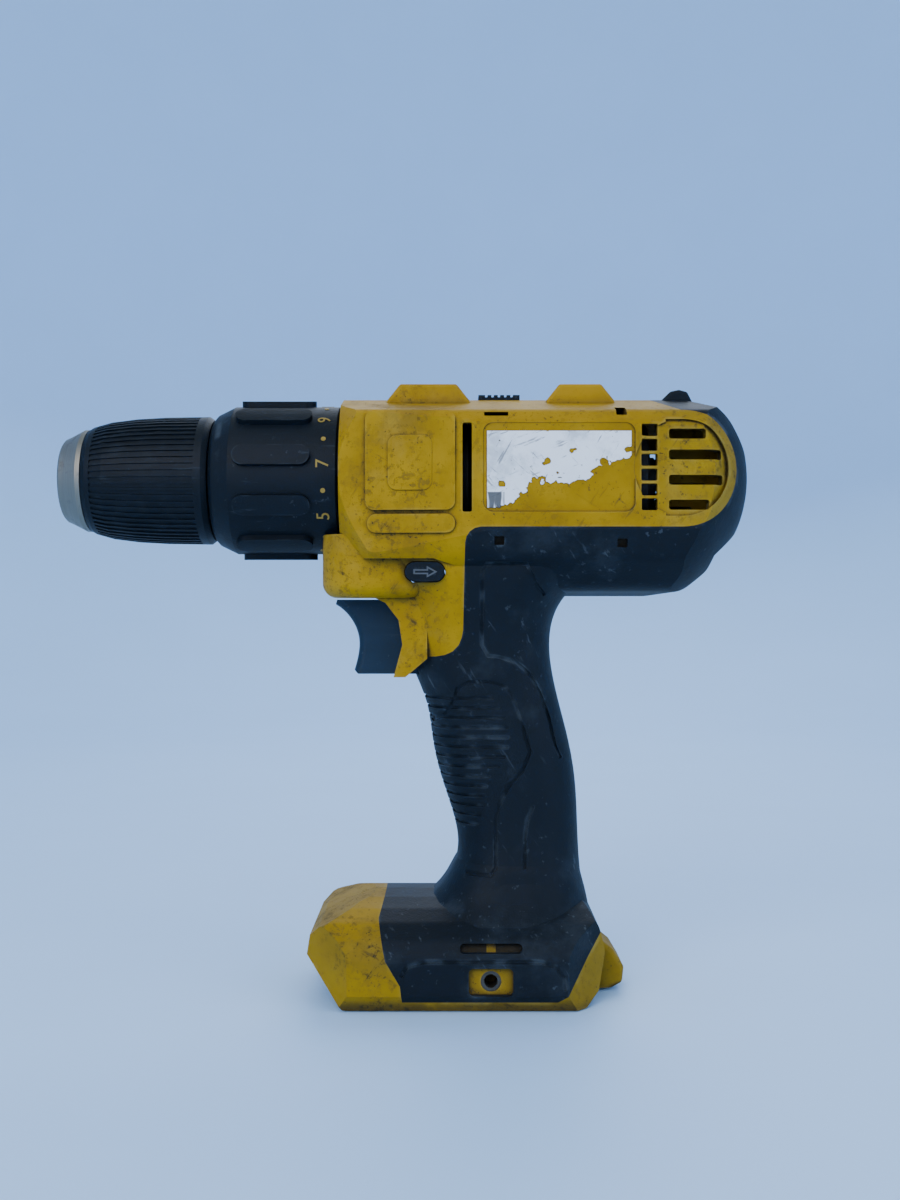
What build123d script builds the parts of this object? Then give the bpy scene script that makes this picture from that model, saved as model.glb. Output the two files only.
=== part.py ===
"""Cordless drill driver, built as the assembly that comes apart on a bench.

Millimetres. -X is forwards, out of the chuck; +Z is up; the left side faces -Y.
The origin is the middle of the foot's resting face.
"""

import math
import os

from build123d import *

os.makedirs("parts", exist_ok=True)

# Driving dimensions of the housing
axis_height = 160.0  # spindle axis above the foot
rubber_thickness = 1.5  # soft skin over the plastic shell
shell_wall = 2.0  # plastic wall under the skin
seam_gap = 0.05  # half of the gap between the two housing halves
fit_gap = 0.3  # free gap between pieces that move past each other
press_gap = 0.05  # gap round pieces that are pressed or clamped in place
running_gap = 0.05  # radial clearance of a shaft in its bearing or bore

# Gear train
gear_module = 0.75
sun_teeth = 18
planet_teeth = 15
ring_teeth = sun_teeth + 2 * planet_teeth
planet_count = 3
stage_count = 3
planet_width = 6.0
carrier_plate = 2.6  # thickness of a planet carrier's plate
stage_gap = 0.6  # axial gap between a carrier and the gears beside it
ring_rim = 1.2  # wall outside a ring gear's tooth roots
case_wall = 1.2
planet_pin_radius = 1.6

# Motor
motor_radius = 20.5
motor_length = 52.0
motor_wall = 1.4
shaft_radius = 2.5
magnet_thickness = 3.5
rotor_air_gap = 0.6

# Head of the housing
head_half_width = 31.0
barrel_half_width = 27.5  # half width at the front face of the barrel
roof_gap = 0.4  # between the gear case and the inside of the head
barrel_front = -38.5  # front face of the yellow barrel
head_rear = 88.9  # back of the rear bumper
head_drop = 36.8  # underside of the head below the axis
side_panel_top = 14.5  # flat side panel, above and below the axis
side_panel_bottom = 17.0

# Collar and chuck
collar_radius = 23.4
collar_pad_height = 1.8
collar_pad_count = 10
collar_length = 39.7
collar_wall = 2.2
collar_air = 0.5  # free gap between the collar and the chin under it
chuck_radius = 20.3
chuck_sleeve_length = 39.4
chuck_nose_length = 8.6
chuck_capacity = 13.0  # largest bit shank
jaw_radius = 3.4
jaw_angle = 16.0  # slant of a jaw to the axis
jaw_count = 3
jaw_length = 30.0

# Foot
foot_front = -48.5
foot_rear = 42.0
foot_height = 30.0
foot_half_width = 33.0
rail_lip = 4.0  # thickness of the lips that hold the battery
rail_half_gap = 18.5  # half width between the lips
slot_half_width = 23.0
slot_height = 12.0
hook_thread_radius = 2.0

# Sizes worked out from the ones above
skin_and_wall = rubber_thickness + shell_wall
sun_radius = gear_module * sun_teeth / 2
planet_radius = gear_module * planet_teeth / 2
ring_radius = gear_module * ring_teeth / 2
orbit_radius = sun_radius + planet_radius
tooth_addendum = 0.8 * gear_module
tooth_dedendum = 1.1 * gear_module
ring_outer = ring_radius + tooth_dedendum + ring_rim
case_radius = ring_outer + press_gap + case_wall
head_rise = max(case_radius, motor_radius) + roof_gap + skin_and_wall

spindle_axis = Axis((0, 0, axis_height), (1, 0, 0))
side_plane = Plane.XZ  # sketches read (X, Z), and extrude towards -Y
axis_side = Plane(origin=(0, 0, axis_height), x_dir=(1, 0, 0), z_dir=(0, -1, 0))


def cross_plane(x):
    """Plane square to the spindle at x, whose sketches read (Y, Z from the axis)."""
    return Plane(origin=(x, 0, axis_height), x_dir=(0, 1, 0), z_dir=(1, 0, 0))


def save(piece, label):
    """Names a finished piece and writes its STEP file."""
    piece.part.label = label
    export_step(piece.part, f"parts/{label}.step")


def turned(profile):
    """A solid of revolution about the spindle axis from (x, radius) points."""
    with BuildPart() as piece:
        with BuildSketch(axis_side):
            with BuildLine():
                Polyline(*profile, close=True)
            make_face()
        revolve(axis=spindle_axis)
    return piece


def mirrored_outline(half_points):
    """A closed outline from the points of its right half, listed top to bottom."""
    left = [(-y, z) for y, z in reversed(half_points) if abs(y) > 1e-9]
    return [*half_points, *left]


# Outer form of the housing, drawn in by an inset for the skin's seat and the hollow

head_top = axis_height + head_rise
head_bottom = axis_height - head_drop
head_facet_width = 5.0  # half width of the flat along the top
head_shoulder = (27.0, 19.0)  # corner between the top facet and the side
head_lower = (28.0, -25.0)
head_keel = (17.0, -35.0)
head_corner_round = 4.0
head_belly_round = 12.0  # of the corners below the side panel
# corners of the rear bumper seen from the side, from the axis, with the round of each
rear_corners = [
    ((69.0, head_rise), 8.0),
    ((80.5, 17.8), 12.0),
    ((head_rear, 4.0), 12.0),
    ((88.6, -9.0), 14.0),
    ((84.8, -17.0), 8.0),
    ((76.2, -24.3), 0.0),
    ((74.8, -29.0), 4.0),
    ((67.6, -35.0), 8.0),
    ((57.0, -head_drop), 15.0),
]
keel_start = 25.0
# x and radius of the turned form that rounds the head's back end
rear_swell = [
    (10.0, 45.0),
    (50.0, 42.0),
    (58.0, 39.8),
    (66.0, 37.0),
    (73.0, 32.5),
    (78.0, 27.5),
    (82.0, 22.5),
    (85.5, 16.5),
    (87.8, 9.5),
    (head_rear, 4.0),
]
barrel_drop = 25.5  # underside of the barrel below the axis, in front of the neck
barrel_round = 27.6  # radius that the barrel's front face is turned to
barrel_round_length = 9.0  # length of the cone that rounds the barrel's front corners
nose_taper_end = 8.0  # where the barrel reaches the head's full width

grip_bottom = 26.0
grip_top = axis_height - 17.4
# front edge, back edge and half width of the grip, at even steps from bottom to top
grip_stations = [
    (-13.0, 38.6, 22.5),
    (-4.0, 36.2, 19.5),
    (-2.5, 35.5, 17.6),
    (-5.0, 35.1, 17.4),
    (-8.4, 34.2, 17.8),
    (-10.6, 32.2, 18.2),
    (-12.4, 29.5, 18.4),
    (-16.5, 27.2, 18.8),
    (-19.5, 26.6, 20.0),
    (-21.5, 30.0, 22.4),
    (-30.0, 41.0, 25.0),
    (-30.0, 41.0, 25.0),
]
grip_roundness = 0.85  # corner radius as a share of the grip's half width
# height, front edge, back edge and half width where the grip spreads into the foot
shoulder_stations = [
    (14.0, -24.0, 40.4, 31.4),
    (20.0, -20.0, 39.6, 28.9),
    (24.5, -16.0, 38.9, 25.8),
    (28.5, -11.5, 38.2, 22.6),
    (33.5, -7.0, 37.0, 20.3),
    (41.0, -2.6, 35.4, 18.2),
]

chin_front = -44.5
chin_bottom = axis_height - 37.4
chin_top = axis_height - 18.0
chin_back = -10.0
chin_half_width = 23.5
chin_round = 12.0
# frame round the trigger, seen from the side
guard_outline = [
    (-30.0, 123.5),
    (-24.8, 121.1),
    (-20.8, 115.9),
    (-19.6, 108.3),
    (-22.3, 98.3),
    (-18.7, 98.3),
    (-12.0, 104.0),
    (-12.0, 123.5),
]
guard_half_width = 17.5

# right half of the foot's arched top, seen from the front
foot_arch = [
    (0, foot_height),
    (10.0, 29.4),
    (18.0, 27.6),
    (25.0, 24.8),
    (30.0, 21.0),
    (foot_half_width, 16.5),
]
foot_arch_round = 7.0

# release tab behind the foot, seen from the side
tab_outline = [
    (36.0, 15.4),
    (42.5, 15.4),
    (46.4, 12.2),
    (49.5, 7.0),
    (49.0, 2.2),
    (46.0, 0.6),
    (36.0, 0.6),
]
tab_half_width = 9.0
tab_round = 1.6

# rest knob of the soft skin behind the head's top, seen from the side
knob_outline = [
    (60.5, head_top - 3.5),
    (60.5, head_top - 1.5),
    (62.5, head_top + 0.6),
    (64.5, head_top + 2.6),
    (67.2, head_top + 3.2),
    (69.8, head_top + 2.5),
    (71.6, head_top - 1.0),
    (71.6, head_top - 3.5),
]
knob_half_width = 6.5
knob_round = 1.2

bump_half_width = 12.5
bump_height = 4.0
bump_slope = 4.0
bump_round = 1.2
front_bump = (-24.5, 1.0)
rear_bump = (25.0, 46.0)


def prism_across(points, half_width):
    """A side outline carried across the full width."""
    with BuildPart() as piece:
        with BuildSketch(side_plane):
            with BuildLine():
                Polyline(*points, close=True)
            make_face()
        extrude(amount=half_width, both=True)
    return piece


def head_form(inset):
    """Rounded section along the axis, cut to the side and plan outlines."""
    section = mirrored_outline(
        [
            (0, head_rise),
            (head_facet_width, head_rise),
            head_shoulder,
            (head_half_width, side_panel_top),
            (head_half_width, -side_panel_bottom),
            head_lower,
            head_keel,
            (0, -head_drop),
        ]
    )
    with BuildPart() as head:
        with BuildSketch(cross_plane(barrel_front + inset)):
            with BuildLine():
                Polyline(*section, close=True)
            make_face()
            fillet([v for v in vertices() if abs(v.X) > 1 and v.Y > 0], head_corner_round)
            belly = [v for v in vertices() if abs(v.X) > 1 and v.Y < -side_panel_bottom - 1]
            fillet(belly, head_belly_round)
            offset(amount=-inset)
        extrude(amount=head_rear - barrel_front)
        with BuildSketch(side_plane):
            with BuildLine():
                Polyline(
                    (barrel_front, head_top),
                    *[(x, axis_height + rise) for (x, rise), _ in rear_corners],
                    (keel_start, head_bottom),
                    (chin_back, axis_height - barrel_drop),
                    (barrel_front, axis_height - barrel_drop),
                    close=True,
                )
            make_face()
            for (x, _), radius in rear_corners:
                if radius:
                    fillet([v for v in vertices() if abs(v.X - x) < 0.01], radius)
            offset(amount=-inset)
        extrude(amount=head_half_width, both=True, mode=Mode.INTERSECT)
        with BuildSketch(Plane.XY):
            with BuildLine():
                Polyline(
                    (barrel_front, barrel_half_width),
                    (nose_taper_end, head_half_width),
                    (head_rear, head_half_width),
                    (head_rear, -head_half_width),
                    (nose_taper_end, -head_half_width),
                    (barrel_front, -barrel_half_width),
                    close=True,
                )
            make_face()
            offset(amount=-inset)
        extrude(amount=head_top, mode=Mode.INTERSECT)
        swell = [(x - inset, radius - inset) for x, radius in rear_swell]
        with BuildSketch(axis_side):
            with BuildLine():
                Polyline(
                    (head_rear - inset, 0),
                    (barrel_front, 0),
                    (barrel_front, barrel_round - inset),
                    (barrel_front + barrel_round_length, barrel_round + barrel_round_length - inset),
                    swell[0],
                    swell[1],
                )
                Spline(*swell[1:])
                Line(swell[-1], (head_rear - inset, 0))
            make_face()
        revolve(axis=spindle_axis, mode=Mode.INTERSECT)
    return head


def stacked_form(stations, inset):
    """Loft up through rounded rectangles, each with its height, front edge, back edge and half width."""
    with BuildPart() as stack:
        for height, front, back, half_width in stations:
            width = half_width - inset
            with BuildSketch(Plane(((front + back) / 2, 0, height))):
                RectangleRounded(back - front - 2 * inset, 2 * width, grip_roundness * width)
        loft()
    return stack


def grip_form(inset):
    """The grip from the foot up into the head."""
    step = (grip_top - grip_bottom) / (len(grip_stations) - 1)
    stations = [(grip_bottom + index * step, *station) for index, station in enumerate(grip_stations)]
    return stacked_form(stations, inset)


def foot_form(inset):
    """Side, front and plan outlines of the foot, intersected."""
    side = [
        (foot_front + 11.5, 0),
        (foot_front, 14.5),
        (foot_front + 1.0, 20.5),
        (foot_front + 4.0, 23.5),
        (foot_front + 15.5, foot_height - 1.4),
        (foot_front + 20.5, foot_height),
        (foot_rear - 6.0, foot_height),
        (foot_rear - 1.8, 23.0),
        (foot_rear + 0.2, 15.5),
        (foot_rear - 2.0, 4.0),
        (foot_rear - 6.0, 0),
    ]
    front = mirrored_outline([*foot_arch, (foot_half_width, 5.0), (foot_half_width - 3.0, 0), (0, 0)])
    plan = [
        (foot_front, foot_half_width - 12.0),
        (foot_front + 13.0, foot_half_width),
        (foot_rear - 12.0, foot_half_width),
        (foot_rear, foot_half_width - 12.0),
    ]
    plan = [*plan, *[(x, -y) for x, y in reversed(plan)]]
    with BuildPart() as foot:
        for plane, outline, mode in (
            (Plane.XZ, side, Mode.ADD),
            (Plane.YZ, front, Mode.INTERSECT),
            (Plane.XY, plan, Mode.INTERSECT),
        ):
            with BuildSketch(plane):
                with BuildLine():
                    Polyline(*outline, close=True)
                make_face()
                if plane == Plane.YZ:
                    fillet([v for v in vertices() if abs(v.X) > 1 and v.Y > 10], foot_arch_round)
                if plane == Plane.XZ:
                    fillet([v for v in vertices() if v.X > foot_rear - 8 and v.Y > 10], foot_arch_round)
                if inset:
                    offset(amount=-inset, kind=Kind.INTERSECTION)
            extrude(amount=2 * max(foot_rear, -foot_front), both=True, mode=mode)
    return foot


def chin_form(inset):
    """Lamp hood under the barrel, hollowed above for the collar."""
    length = chin_back - chin_front - inset
    with BuildPart() as chin:
        with BuildSketch(Plane.XY.offset(chin_bottom + inset)):
            with Locations((chin_front + inset + length / 2, 0)):
                RectangleRounded(length, 2 * (chin_half_width - inset), chin_round - inset)
        extrude(amount=chin_top - chin_bottom)
        fillet(chin.faces().sort_by(Axis.Z)[0].edges(), max(4.5 - inset, 0.4))
        with BuildSketch(cross_plane(chin_front - 1)):
            Circle(collar_radius + collar_air + inset)
        extrude(amount=barrel_front - chin_front + 1, mode=Mode.SUBTRACT)
    return chin


def housing_form(inset):
    """The whole outer form, drawn in by an inset all round."""
    with BuildPart() as form:
        add(head_form(inset).part)
        add(grip_form(inset).part)
        add(stacked_form(shoulder_stations, inset).part)
        add(foot_form(inset).part)
        add(chin_form(inset).part)
    return form


# Soft skin, seen from the side

rear_round_x = 64.0  # centre of the round back end of the yellow side
rear_round_radius = 17.6
rear_round_rise = 1.4
skin_top_front = 58.0
neck_line = [
    (4.2, 143.8),
    (2.4, 143.4),
    (0.9, 142.4),
    (-0.1, 140.9),
    (-0.5, 139.1),
    (-1.0, 112.9),
    (-1.4, 110.6),
    (-2.4, 108.2),
    (-4.2, 106.3),
    (-6.6, 105.2),
    (-9.4, 104.7),
    (-15.6, 104.4),
    (-18.7, 98.3),
    (-60.0, 98.3),
]
foot_line = [
    (-60.0, 40.0),
    (-24.0, 40.0),
    (-23.8, 34.4),
    (-26.6, 25.8),
    (-24.2, 15.4),
    (-19.8, 8.0),
    (-19.2, 3.0),
    (27.0, 3.0),
    (30.0, 5.0),
    (36.4, 15.4),
    (41.0, 22.0),
    (60.0, 24.0),
    (60.0, 60.0),
]
back_strap_groove = [
    (24.0, 123.5),
    (21.6, 126.0),
    (18.0, 132.9),
    (6.0, 132.9),
    (4.7, 130.6),
    (4.7, 108.2),
    (6.6, 105.0),
    (9.9, 104.7),
    (15.2, 103.0),
    (19.2, 99.4),
    (22.7, 93.2),
    (25.6, 85.3),
    (27.4, 77.0),
    (29.3, 73.0),
]
grip_pad_groove = [
    (-10.6, 84.4),
    (-6.5, 86.8),
    (-4.1, 90.5),
    (-2.7, 94.9),
    (0.5, 96.9),
    (7.5, 97.1),
    (12.0, 95.4),
    (14.8, 90.5),
    (17.2, 83.4),
    (19.4, 75.5),
    (17.2, 69.7),
    (13.2, 65.1),
    (10.6, 60.5),
    (9.1, 55.9),
    (9.1, 40.0),
    (7.5, 37.8),
    (-0.1, 37.9),
]
palm_groove = [(20.6, 59.0), (18.6, 54.4), (18.0, 48.9), (17.8, 39.7)]
# upper edge of the plate low on the foot's side
plate_groove = [
    (-19.5, 10.8),
    (-17.5, 14.0),
    (-13.0, 15.2),
    (22.0, 15.2),
    (26.4, 13.9),
    (28.6, 10.6),
    (28.9, 6.8),
]
groove_width = 1.1
groove_depth = 0.7
rib_top = 92.0  # highest of the finger grooves across the grip's front
rib_bottom = 51.0
rib_pitch = 3.0
rib_width = 1.0
rib_slant = 9.0  # how much nearer the front the lowest groove ends


def skin_zone():
    """Everything that lies behind or below the edge of the soft skin."""
    rear_z = axis_height + rear_round_rise
    top = (rear_round_x, rear_z + rear_round_radius)
    back = (rear_round_x + rear_round_radius, rear_z)
    bottom = (rear_round_x, rear_z - rear_round_radius)
    with BuildPart() as zone:
        with BuildSketch(side_plane):
            with BuildLine():
                Polyline((skin_top_front, 2 * axis_height), (skin_top_front, head_top), top)
                ThreePointArc(top, back, bottom)
                Polyline(
                    bottom,
                    *neck_line,
                    *foot_line,
                    (2 * head_rear, 60.0),
                    (2 * head_rear, 2 * axis_height),
                    (skin_top_front, 2 * axis_height),
                )
            make_face()
        extrude(amount=2 * head_half_width, both=True)
    return zone


def groove_bands():
    """Paths of the grooves in the skin, as walls across the full width."""
    with BuildPart() as bands:
        for path in (back_strap_groove, grip_pad_groove, palm_groove, plate_groove):
            with BuildSketch(side_plane):
                with BuildLine():
                    Polyline(*path)
                trace(line_width=groove_width)
            extrude(amount=2 * head_half_width, both=True)
        count = int((rib_top - rib_bottom) / rib_pitch) + 1
        for index in range(count):
            height = rib_top - index * rib_pitch
            drop = index / (count - 1)
            middle = math.sin(math.pi * min(1.0, drop * 1.6))
            end = 8.5 + 5.0 * middle - rib_slant * max(0.0, drop - 0.5)
            start = -30.0
            with BuildSketch(side_plane):
                with Locations(((start + end) / 2, height)):
                    SlotOverall(end - start, rib_width)
            extrude(amount=2 * head_half_width, both=True)
    return bands


# Housing halves

slot_rear = 24.0  # closed end of the battery slot
web_half_width = 1.2  # ribs behind the motor, one on each half, that meet in the middle
web_reach = 20.0
tray_wall = 2.2
bump_top = head_top + bump_height
trigger_half_width = 9.0
trigger_bottom = 98.9
trigger_top = 122.1
trigger_back = -12.0
button_place = (-12.6, 130.5)  # direction button, seen from the side
button_length = 11.9
button_height = 5.8
lens_half_width = 4.7
lens_bottom = 126.7
lens_top = 131.5
riser_x = (13.1, 21.9)  # neck of the terminal block, up through the tray's roof
riser_half_width = 11.9
selector_front = 4.0
selector_length = 13.0
selector_half_width = 5.0
selector_travel = 4.4
selector_plate = (-0.8, 22.5)
selector_plate_half_width = 7.6
plate_thickness = 1.2
pocket_height = 1.8  # pocket for the selector's plate, up into the roof
roof_inside = head_top - skin_and_wall
fork_x = -15.8
screw_places = [
    (-12.0, 186.4),
    (36.0, 186.4),
    (64.0, 131.0),
    (38.0, 129.0),
    (-30.0, 133.6),
    (14.0, 70.0),
    (-34.0, 22.0),
    (33.0, 22.0),
]
screw_seat = 9.0  # under the screw's head, from the middle seam
screw_depth = 8.0  # shank in the left half
screw_head_radius = 2.9
screw_head_height = 2.6
screw_radius = 1.6
boss_radius = 3.6
hook_place = (7.1, 9.2)
hook_depth = 24.4  # inner end of the belt-hook hole from the middle
hook_insert_radius = 3.0
hook_insert_length = 6.0
hook_window = (13.2, 8.2)
skin_slot_place = (7.2, 18.8)
skin_slot = (18.6, 2.6)
label_x = (4.8, 50.0)
label_z = (148.2, 174.7)
label_recess = 0.6
label_thickness = 0.25
pad_corner = 2.7
front_pad = ((-30.3, -3.5), (148.8, 178.5), 1.2)
emblem_pad = ((-23.5, -10.4), (154.7, 171.0), 1.7)
lower_pad = ((-29.7, -3.5), (142.0, 147.6), 1.0)
vent_x = (51.8, 56.6)
vent_count = 6
vent_bar = 0.8  # bar left between two windows
rear_slots = [(171.4, 71.0), (165.2, 76.0), (157.7, 76.5), (150.3, 72.0)]  # height, back end
rear_slot_front = 60.0
rear_slot_width = 3.0
rear_rim = 3.2  # width of the raised rim round the rear slots
rear_sink = 0.8  # how far the face inside the rim lies below it
facet_windows = [((5.2, 12.4), (176.9, 178.2)), ((44.6, 47.8), (177.2, 180.2))]  # ranges of x and z
side_slot_x = (-1.3, 1.5)
skin_marks = [(9.7, 139.7), (46.3, 139.0)]
far = 60.0  # beyond the side of the housing
cradle_places = [(-27.0, case_radius), (31.0, motor_radius), (48.0, motor_radius)]  # x, radius held
cradle_width = 2.0
cradle_drop = 12.0  # how far below the axis the cradles reach


def block(x, y, z):
    """A box from its ranges along X, Y and Z."""
    with BuildPart() as piece:
        with Locations((x[0], y[0], z[0])):
            Box(x[1] - x[0], y[1] - y[0], z[1] - z[0], align=(Align.MIN, Align.MIN, Align.MIN))
    return piece


def cross_rod(place, radius, y):
    """A rod along Y at a side-view place, over a range of Y."""
    with BuildPart() as piece:
        with BuildSketch(Plane.XZ.offset(-y[1])):
            with Locations(place):
                Circle(radius)
        extrude(amount=y[1] - y[0])
    return piece


def joined(pieces):
    """Several pieces as one."""
    with BuildPart() as whole:
        for piece in pieces:
            add(piece.part)
    return whole


def less(piece, *tools):
    """A piece with other pieces cut away from it."""
    with BuildPart() as rest:
        add(piece.part)
        for tool in tools:
            add(tool.part, mode=Mode.SUBTRACT)
    return rest


def common(piece, other):
    """What two pieces share."""
    with BuildPart() as shared:
        add(piece.part)
        add(other.part, mode=Mode.INTERSECT)
    return shared


def side_panel(x, z, corner):
    """A rounded panel seen from the side, carried across the full width."""
    with BuildPart() as panel:
        with BuildSketch(side_plane):
            with Locations(((x[0] + x[1]) / 2, (z[0] + z[1]) / 2)):
                RectangleRounded(x[1] - x[0], z[1] - z[0], corner)
        extrude(amount=far, both=True)
    return panel


def side_stadium(place, length, height):
    """A round-ended slot seen from the side, carried across the full width."""
    with BuildPart() as slot:
        with BuildSketch(side_plane):
            with Locations(place):
                SlotOverall(length, height)
        extrude(amount=far, both=True)
    return slot


def raised_pad(x, z, rise):
    """A panel standing proud of the head's sides."""
    return common(side_panel(x, z, pad_corner), head_form(-rise))


def top_bump(span):
    """A low flat-topped hump across the roof."""
    outline = [
        (span[0], head_top - skin_and_wall),
        (span[0], head_top - 1),
        (span[0] + bump_slope, bump_top),
        (span[1] - bump_slope, bump_top),
        (span[1], head_top - 1),
        (span[1], head_top - skin_and_wall),
    ]
    bump = prism_across(outline, bump_half_width)
    with bump:
        fillet([e for e in bump.edges() if e.center().Z > head_top], bump_round)
    return bump


def housing_openings():
    """All that is cut through both the shell and its skin."""
    slot_x = (foot_front - 1, slot_rear)
    trigger_air = trigger_half_width + fit_gap
    lens_air = lens_half_width + press_gap
    selector_slot = (
        selector_front - fit_gap,
        selector_front + selector_length + selector_travel + fit_gap,
    )
    pocket_top = roof_inside + pocket_height
    lamp_x = (chin_front - 1, chin_front + skin_and_wall + 0.5)
    fork_pocket = (fork_x - 2.5, selector_plate[0])
    plate_pocket = (selector_plate[0] - fit_gap, selector_plate[1] + selector_travel + fit_gap)
    plate_air = selector_plate_half_width + fit_gap
    slot_air = selector_half_width + fit_gap
    with BuildPart() as nose_bore:
        with BuildSketch(cross_plane(barrel_front - 1)):
            Circle(case_radius + press_gap)
        extrude(amount=skin_and_wall + 2)
    pieces = [
        nose_bore,
        block(slot_x, (-rail_half_gap, rail_half_gap), (-1, rail_lip)),
        block(slot_x, (-slot_half_width, slot_half_width), (rail_lip, slot_height)),
        block(
            (riser_x[0] - 2 * press_gap, riser_x[1] + 2 * press_gap),
            (-riser_half_width - 2 * press_gap, riser_half_width + 2 * press_gap),
            (slot_height - 1, slot_height + tray_wall + 1),
        ),
        block(
            (trigger_back - 28.0, trigger_back + 4.0),
            (-trigger_air, trigger_air),
            (trigger_bottom - fit_gap, trigger_top + fit_gap),
        ),
        block(lamp_x, (-lens_air, lens_air), (lens_bottom - press_gap, lens_top + press_gap)),
        side_stadium(button_place, button_length + 2 * fit_gap, button_height + 2 * fit_gap),
        block(selector_slot, (-slot_air, slot_air), (roof_inside, 2 * head_top)),
        block(plate_pocket, (-plate_air, plate_air), (roof_inside - 1, pocket_top)),
        block(fork_pocket, (-2.0, 2.0), (roof_inside - 1, pocket_top)),
    ]
    for side in (-1, 1):
        hole = sorted((side * hook_depth, side * far))
        pieces.append(cross_rod(hook_place, hook_insert_radius + press_gap, hole))
    for place in screw_places:
        pieces.append(cross_rod(place, screw_radius + press_gap, (-screw_depth, screw_seat)))
        pieces.append(cross_rod(place, screw_head_radius + press_gap, (screw_seat, far)))
    return joined(pieces)


def head_vents():
    """Cooling windows and slots in the sides of the head."""
    pieces = []
    step = (label_z[1] - label_z[0]) / vent_count
    for index in range(vent_count):
        low = label_z[0] + index * step
        pieces.append(side_panel(vent_x, (low + vent_bar / 2, low + step - vent_bar / 2), 0.5))
    for height, back in rear_slots:
        span = (height - rear_slot_width / 2, height + rear_slot_width / 2)
        pieces.append(side_panel((rear_slot_front, back), span, 0.8))
    for x, z in facet_windows:
        pieces.append(side_panel(x, z, 0.3))
    pieces.append(side_panel(side_slot_x, label_z, 0.6))
    return joined(pieces)


def build_housing():
    """Both halves with their skins, and the pieces fixed to them."""
    outer = housing_form(0)
    knob = prism_across(knob_outline, knob_half_width)
    with knob:
        fillet([e for e in knob.edges() if e.center().Z > head_top], knob_round)
    skin = common(less(joined([outer, knob]), housing_form(rubber_thickness)), skin_zone())
    bosses = joined([cross_rod(place, boss_radius, (-far, far)) for place in screw_places])
    tray = block(
        (2 * foot_front, slot_rear + tray_wall),
        (-slot_half_width - tray_wall, slot_half_width + tray_wall),
        (0, slot_height + tray_wall),
    )
    cradles = []
    for x, radius in cradle_places:
        span = (x, x + cradle_width)
        slab = block(span, (-far, far), (axis_height - cradle_drop, 2 * axis_height))
        held = radius + press_gap
        cradles.append(less(slab, turned([(x - 1, 0), (x - 1, held), (x + 4, held), (x + 4, 0)])))
    web = block(
        (can_rear + bell_depth + 1.0, head_rear),
        (-web_half_width, web_half_width),
        (axis_height - web_reach, axis_height + web_reach),
    )
    hollow = less(housing_form(skin_and_wall), bosses, tray, web, *cradles)
    openings = housing_openings()
    tab = prism_across(tab_outline, tab_half_width)
    with tab:
        fillet([e for e in tab.edges() if e.center().X > foot_rear], tab_round)
    body = joined(
        [
            outer,
            prism_across(guard_outline, guard_half_width),
            top_bump(front_bump),
            top_bump(rear_bump),
            tab,
            raised_pad(*front_pad),
            raised_pad(*emblem_pad),
            raised_pad(*lower_pad),
        ]
    )
    inside_rim = rear_round_radius - rear_rim
    with BuildPart() as rear_face:
        with BuildSketch(side_plane):
            with Locations((rear_round_x, axis_height + rear_round_rise)):
                Circle(inside_rim)
                with Locations(((rear_slot_front - rear_round_x) / 2 - 0.5, 0)):
                    Rectangle(rear_round_x - rear_slot_front + 1, 2 * inside_rim)
        extrude(amount=far, both=True)
    rear_dish = less(rear_face, head_form(rear_sink))
    recess_floor = head_half_width - label_recess
    recess = side_panel(label_x, label_z, 3.0)
    keep = block((-100, 100), (-recess_floor, recess_floor), (0, 200))
    shell = less(body, skin, hollow, openings, head_vents(), rear_dish, less(recess, keep))
    windows = joined(
        [
            side_panel(
                (hook_place[0] - hook_window[0] / 2, hook_place[0] + hook_window[0] / 2),
                (hook_place[1] - hook_window[1] / 2, hook_place[1] + hook_window[1] / 2),
                1.5,
            ),
            side_stadium(skin_slot_place, *skin_slot),
            *[side_panel((x - 1.5, x + 1.5), (z - 1.3, z + 1.3), 0.4) for x, z in skin_marks],
        ]
    )
    grooves = less(groove_bands(), housing_form(groove_depth))
    skin = less(skin, openings, windows, grooves)
    for side, name in ((1, "left"), (-1, "right")):
        keep_side = Keep.TOP if side > 0 else Keep.BOTTOM
        for whole, kind in ((shell, "housing"), (skin, "overmould")):
            with BuildPart() as half:
                add(whole.part)
                split(bisect_by=Plane.XZ.offset(side * seam_gap), keep=keep_side)
            save(half, f"{name}_{kind}")
    label_panel = side_panel(
        (label_x[0] + 1.2, label_x[1] - 1.2), (label_z[0] + 1.2, label_z[1] - 2.5), 2.0
    )
    sheet_out = recess_floor + label_thickness
    sheet = block((-100, 100), (-sheet_out, sheet_out), (0, 200))
    save(less(common(label_panel, sheet), keep), "side_labels")
    inserts = []
    for side in (-1, 1):
        insert_end = foot_half_width - rubber_thickness - 0.3
        span = sorted((side * (insert_end - hook_insert_length), side * insert_end))
        bore = (span[0] - 1, span[1] + 1)
        sleeve = cross_rod(hook_place, hook_insert_radius, span)
        inserts.append(less(sleeve, cross_rod(hook_place, hook_thread_radius, bore)))
    save(joined(inserts), "hook_inserts")
    head_span = (screw_seat + press_gap, screw_seat + screw_head_height)
    socket_span = (screw_seat + screw_head_height - 1.4, screw_seat + screw_head_height + 1)
    screws = []
    for place in screw_places:
        with BuildPart() as socket:
            with BuildSketch(Plane.XZ.offset(-socket_span[1])):
                with Locations(place):
                    RegularPolygon(1.5, 6)
            extrude(amount=socket_span[1] - socket_span[0])
        head = less(cross_rod(place, screw_head_radius, head_span), socket)
        shank = cross_rod(place, screw_radius, (0.2 - screw_depth, head_span[0]))
        screws.append(joined([head, shank]))
    save(joined(screws), "housing_screws")


# Gear train

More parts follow.
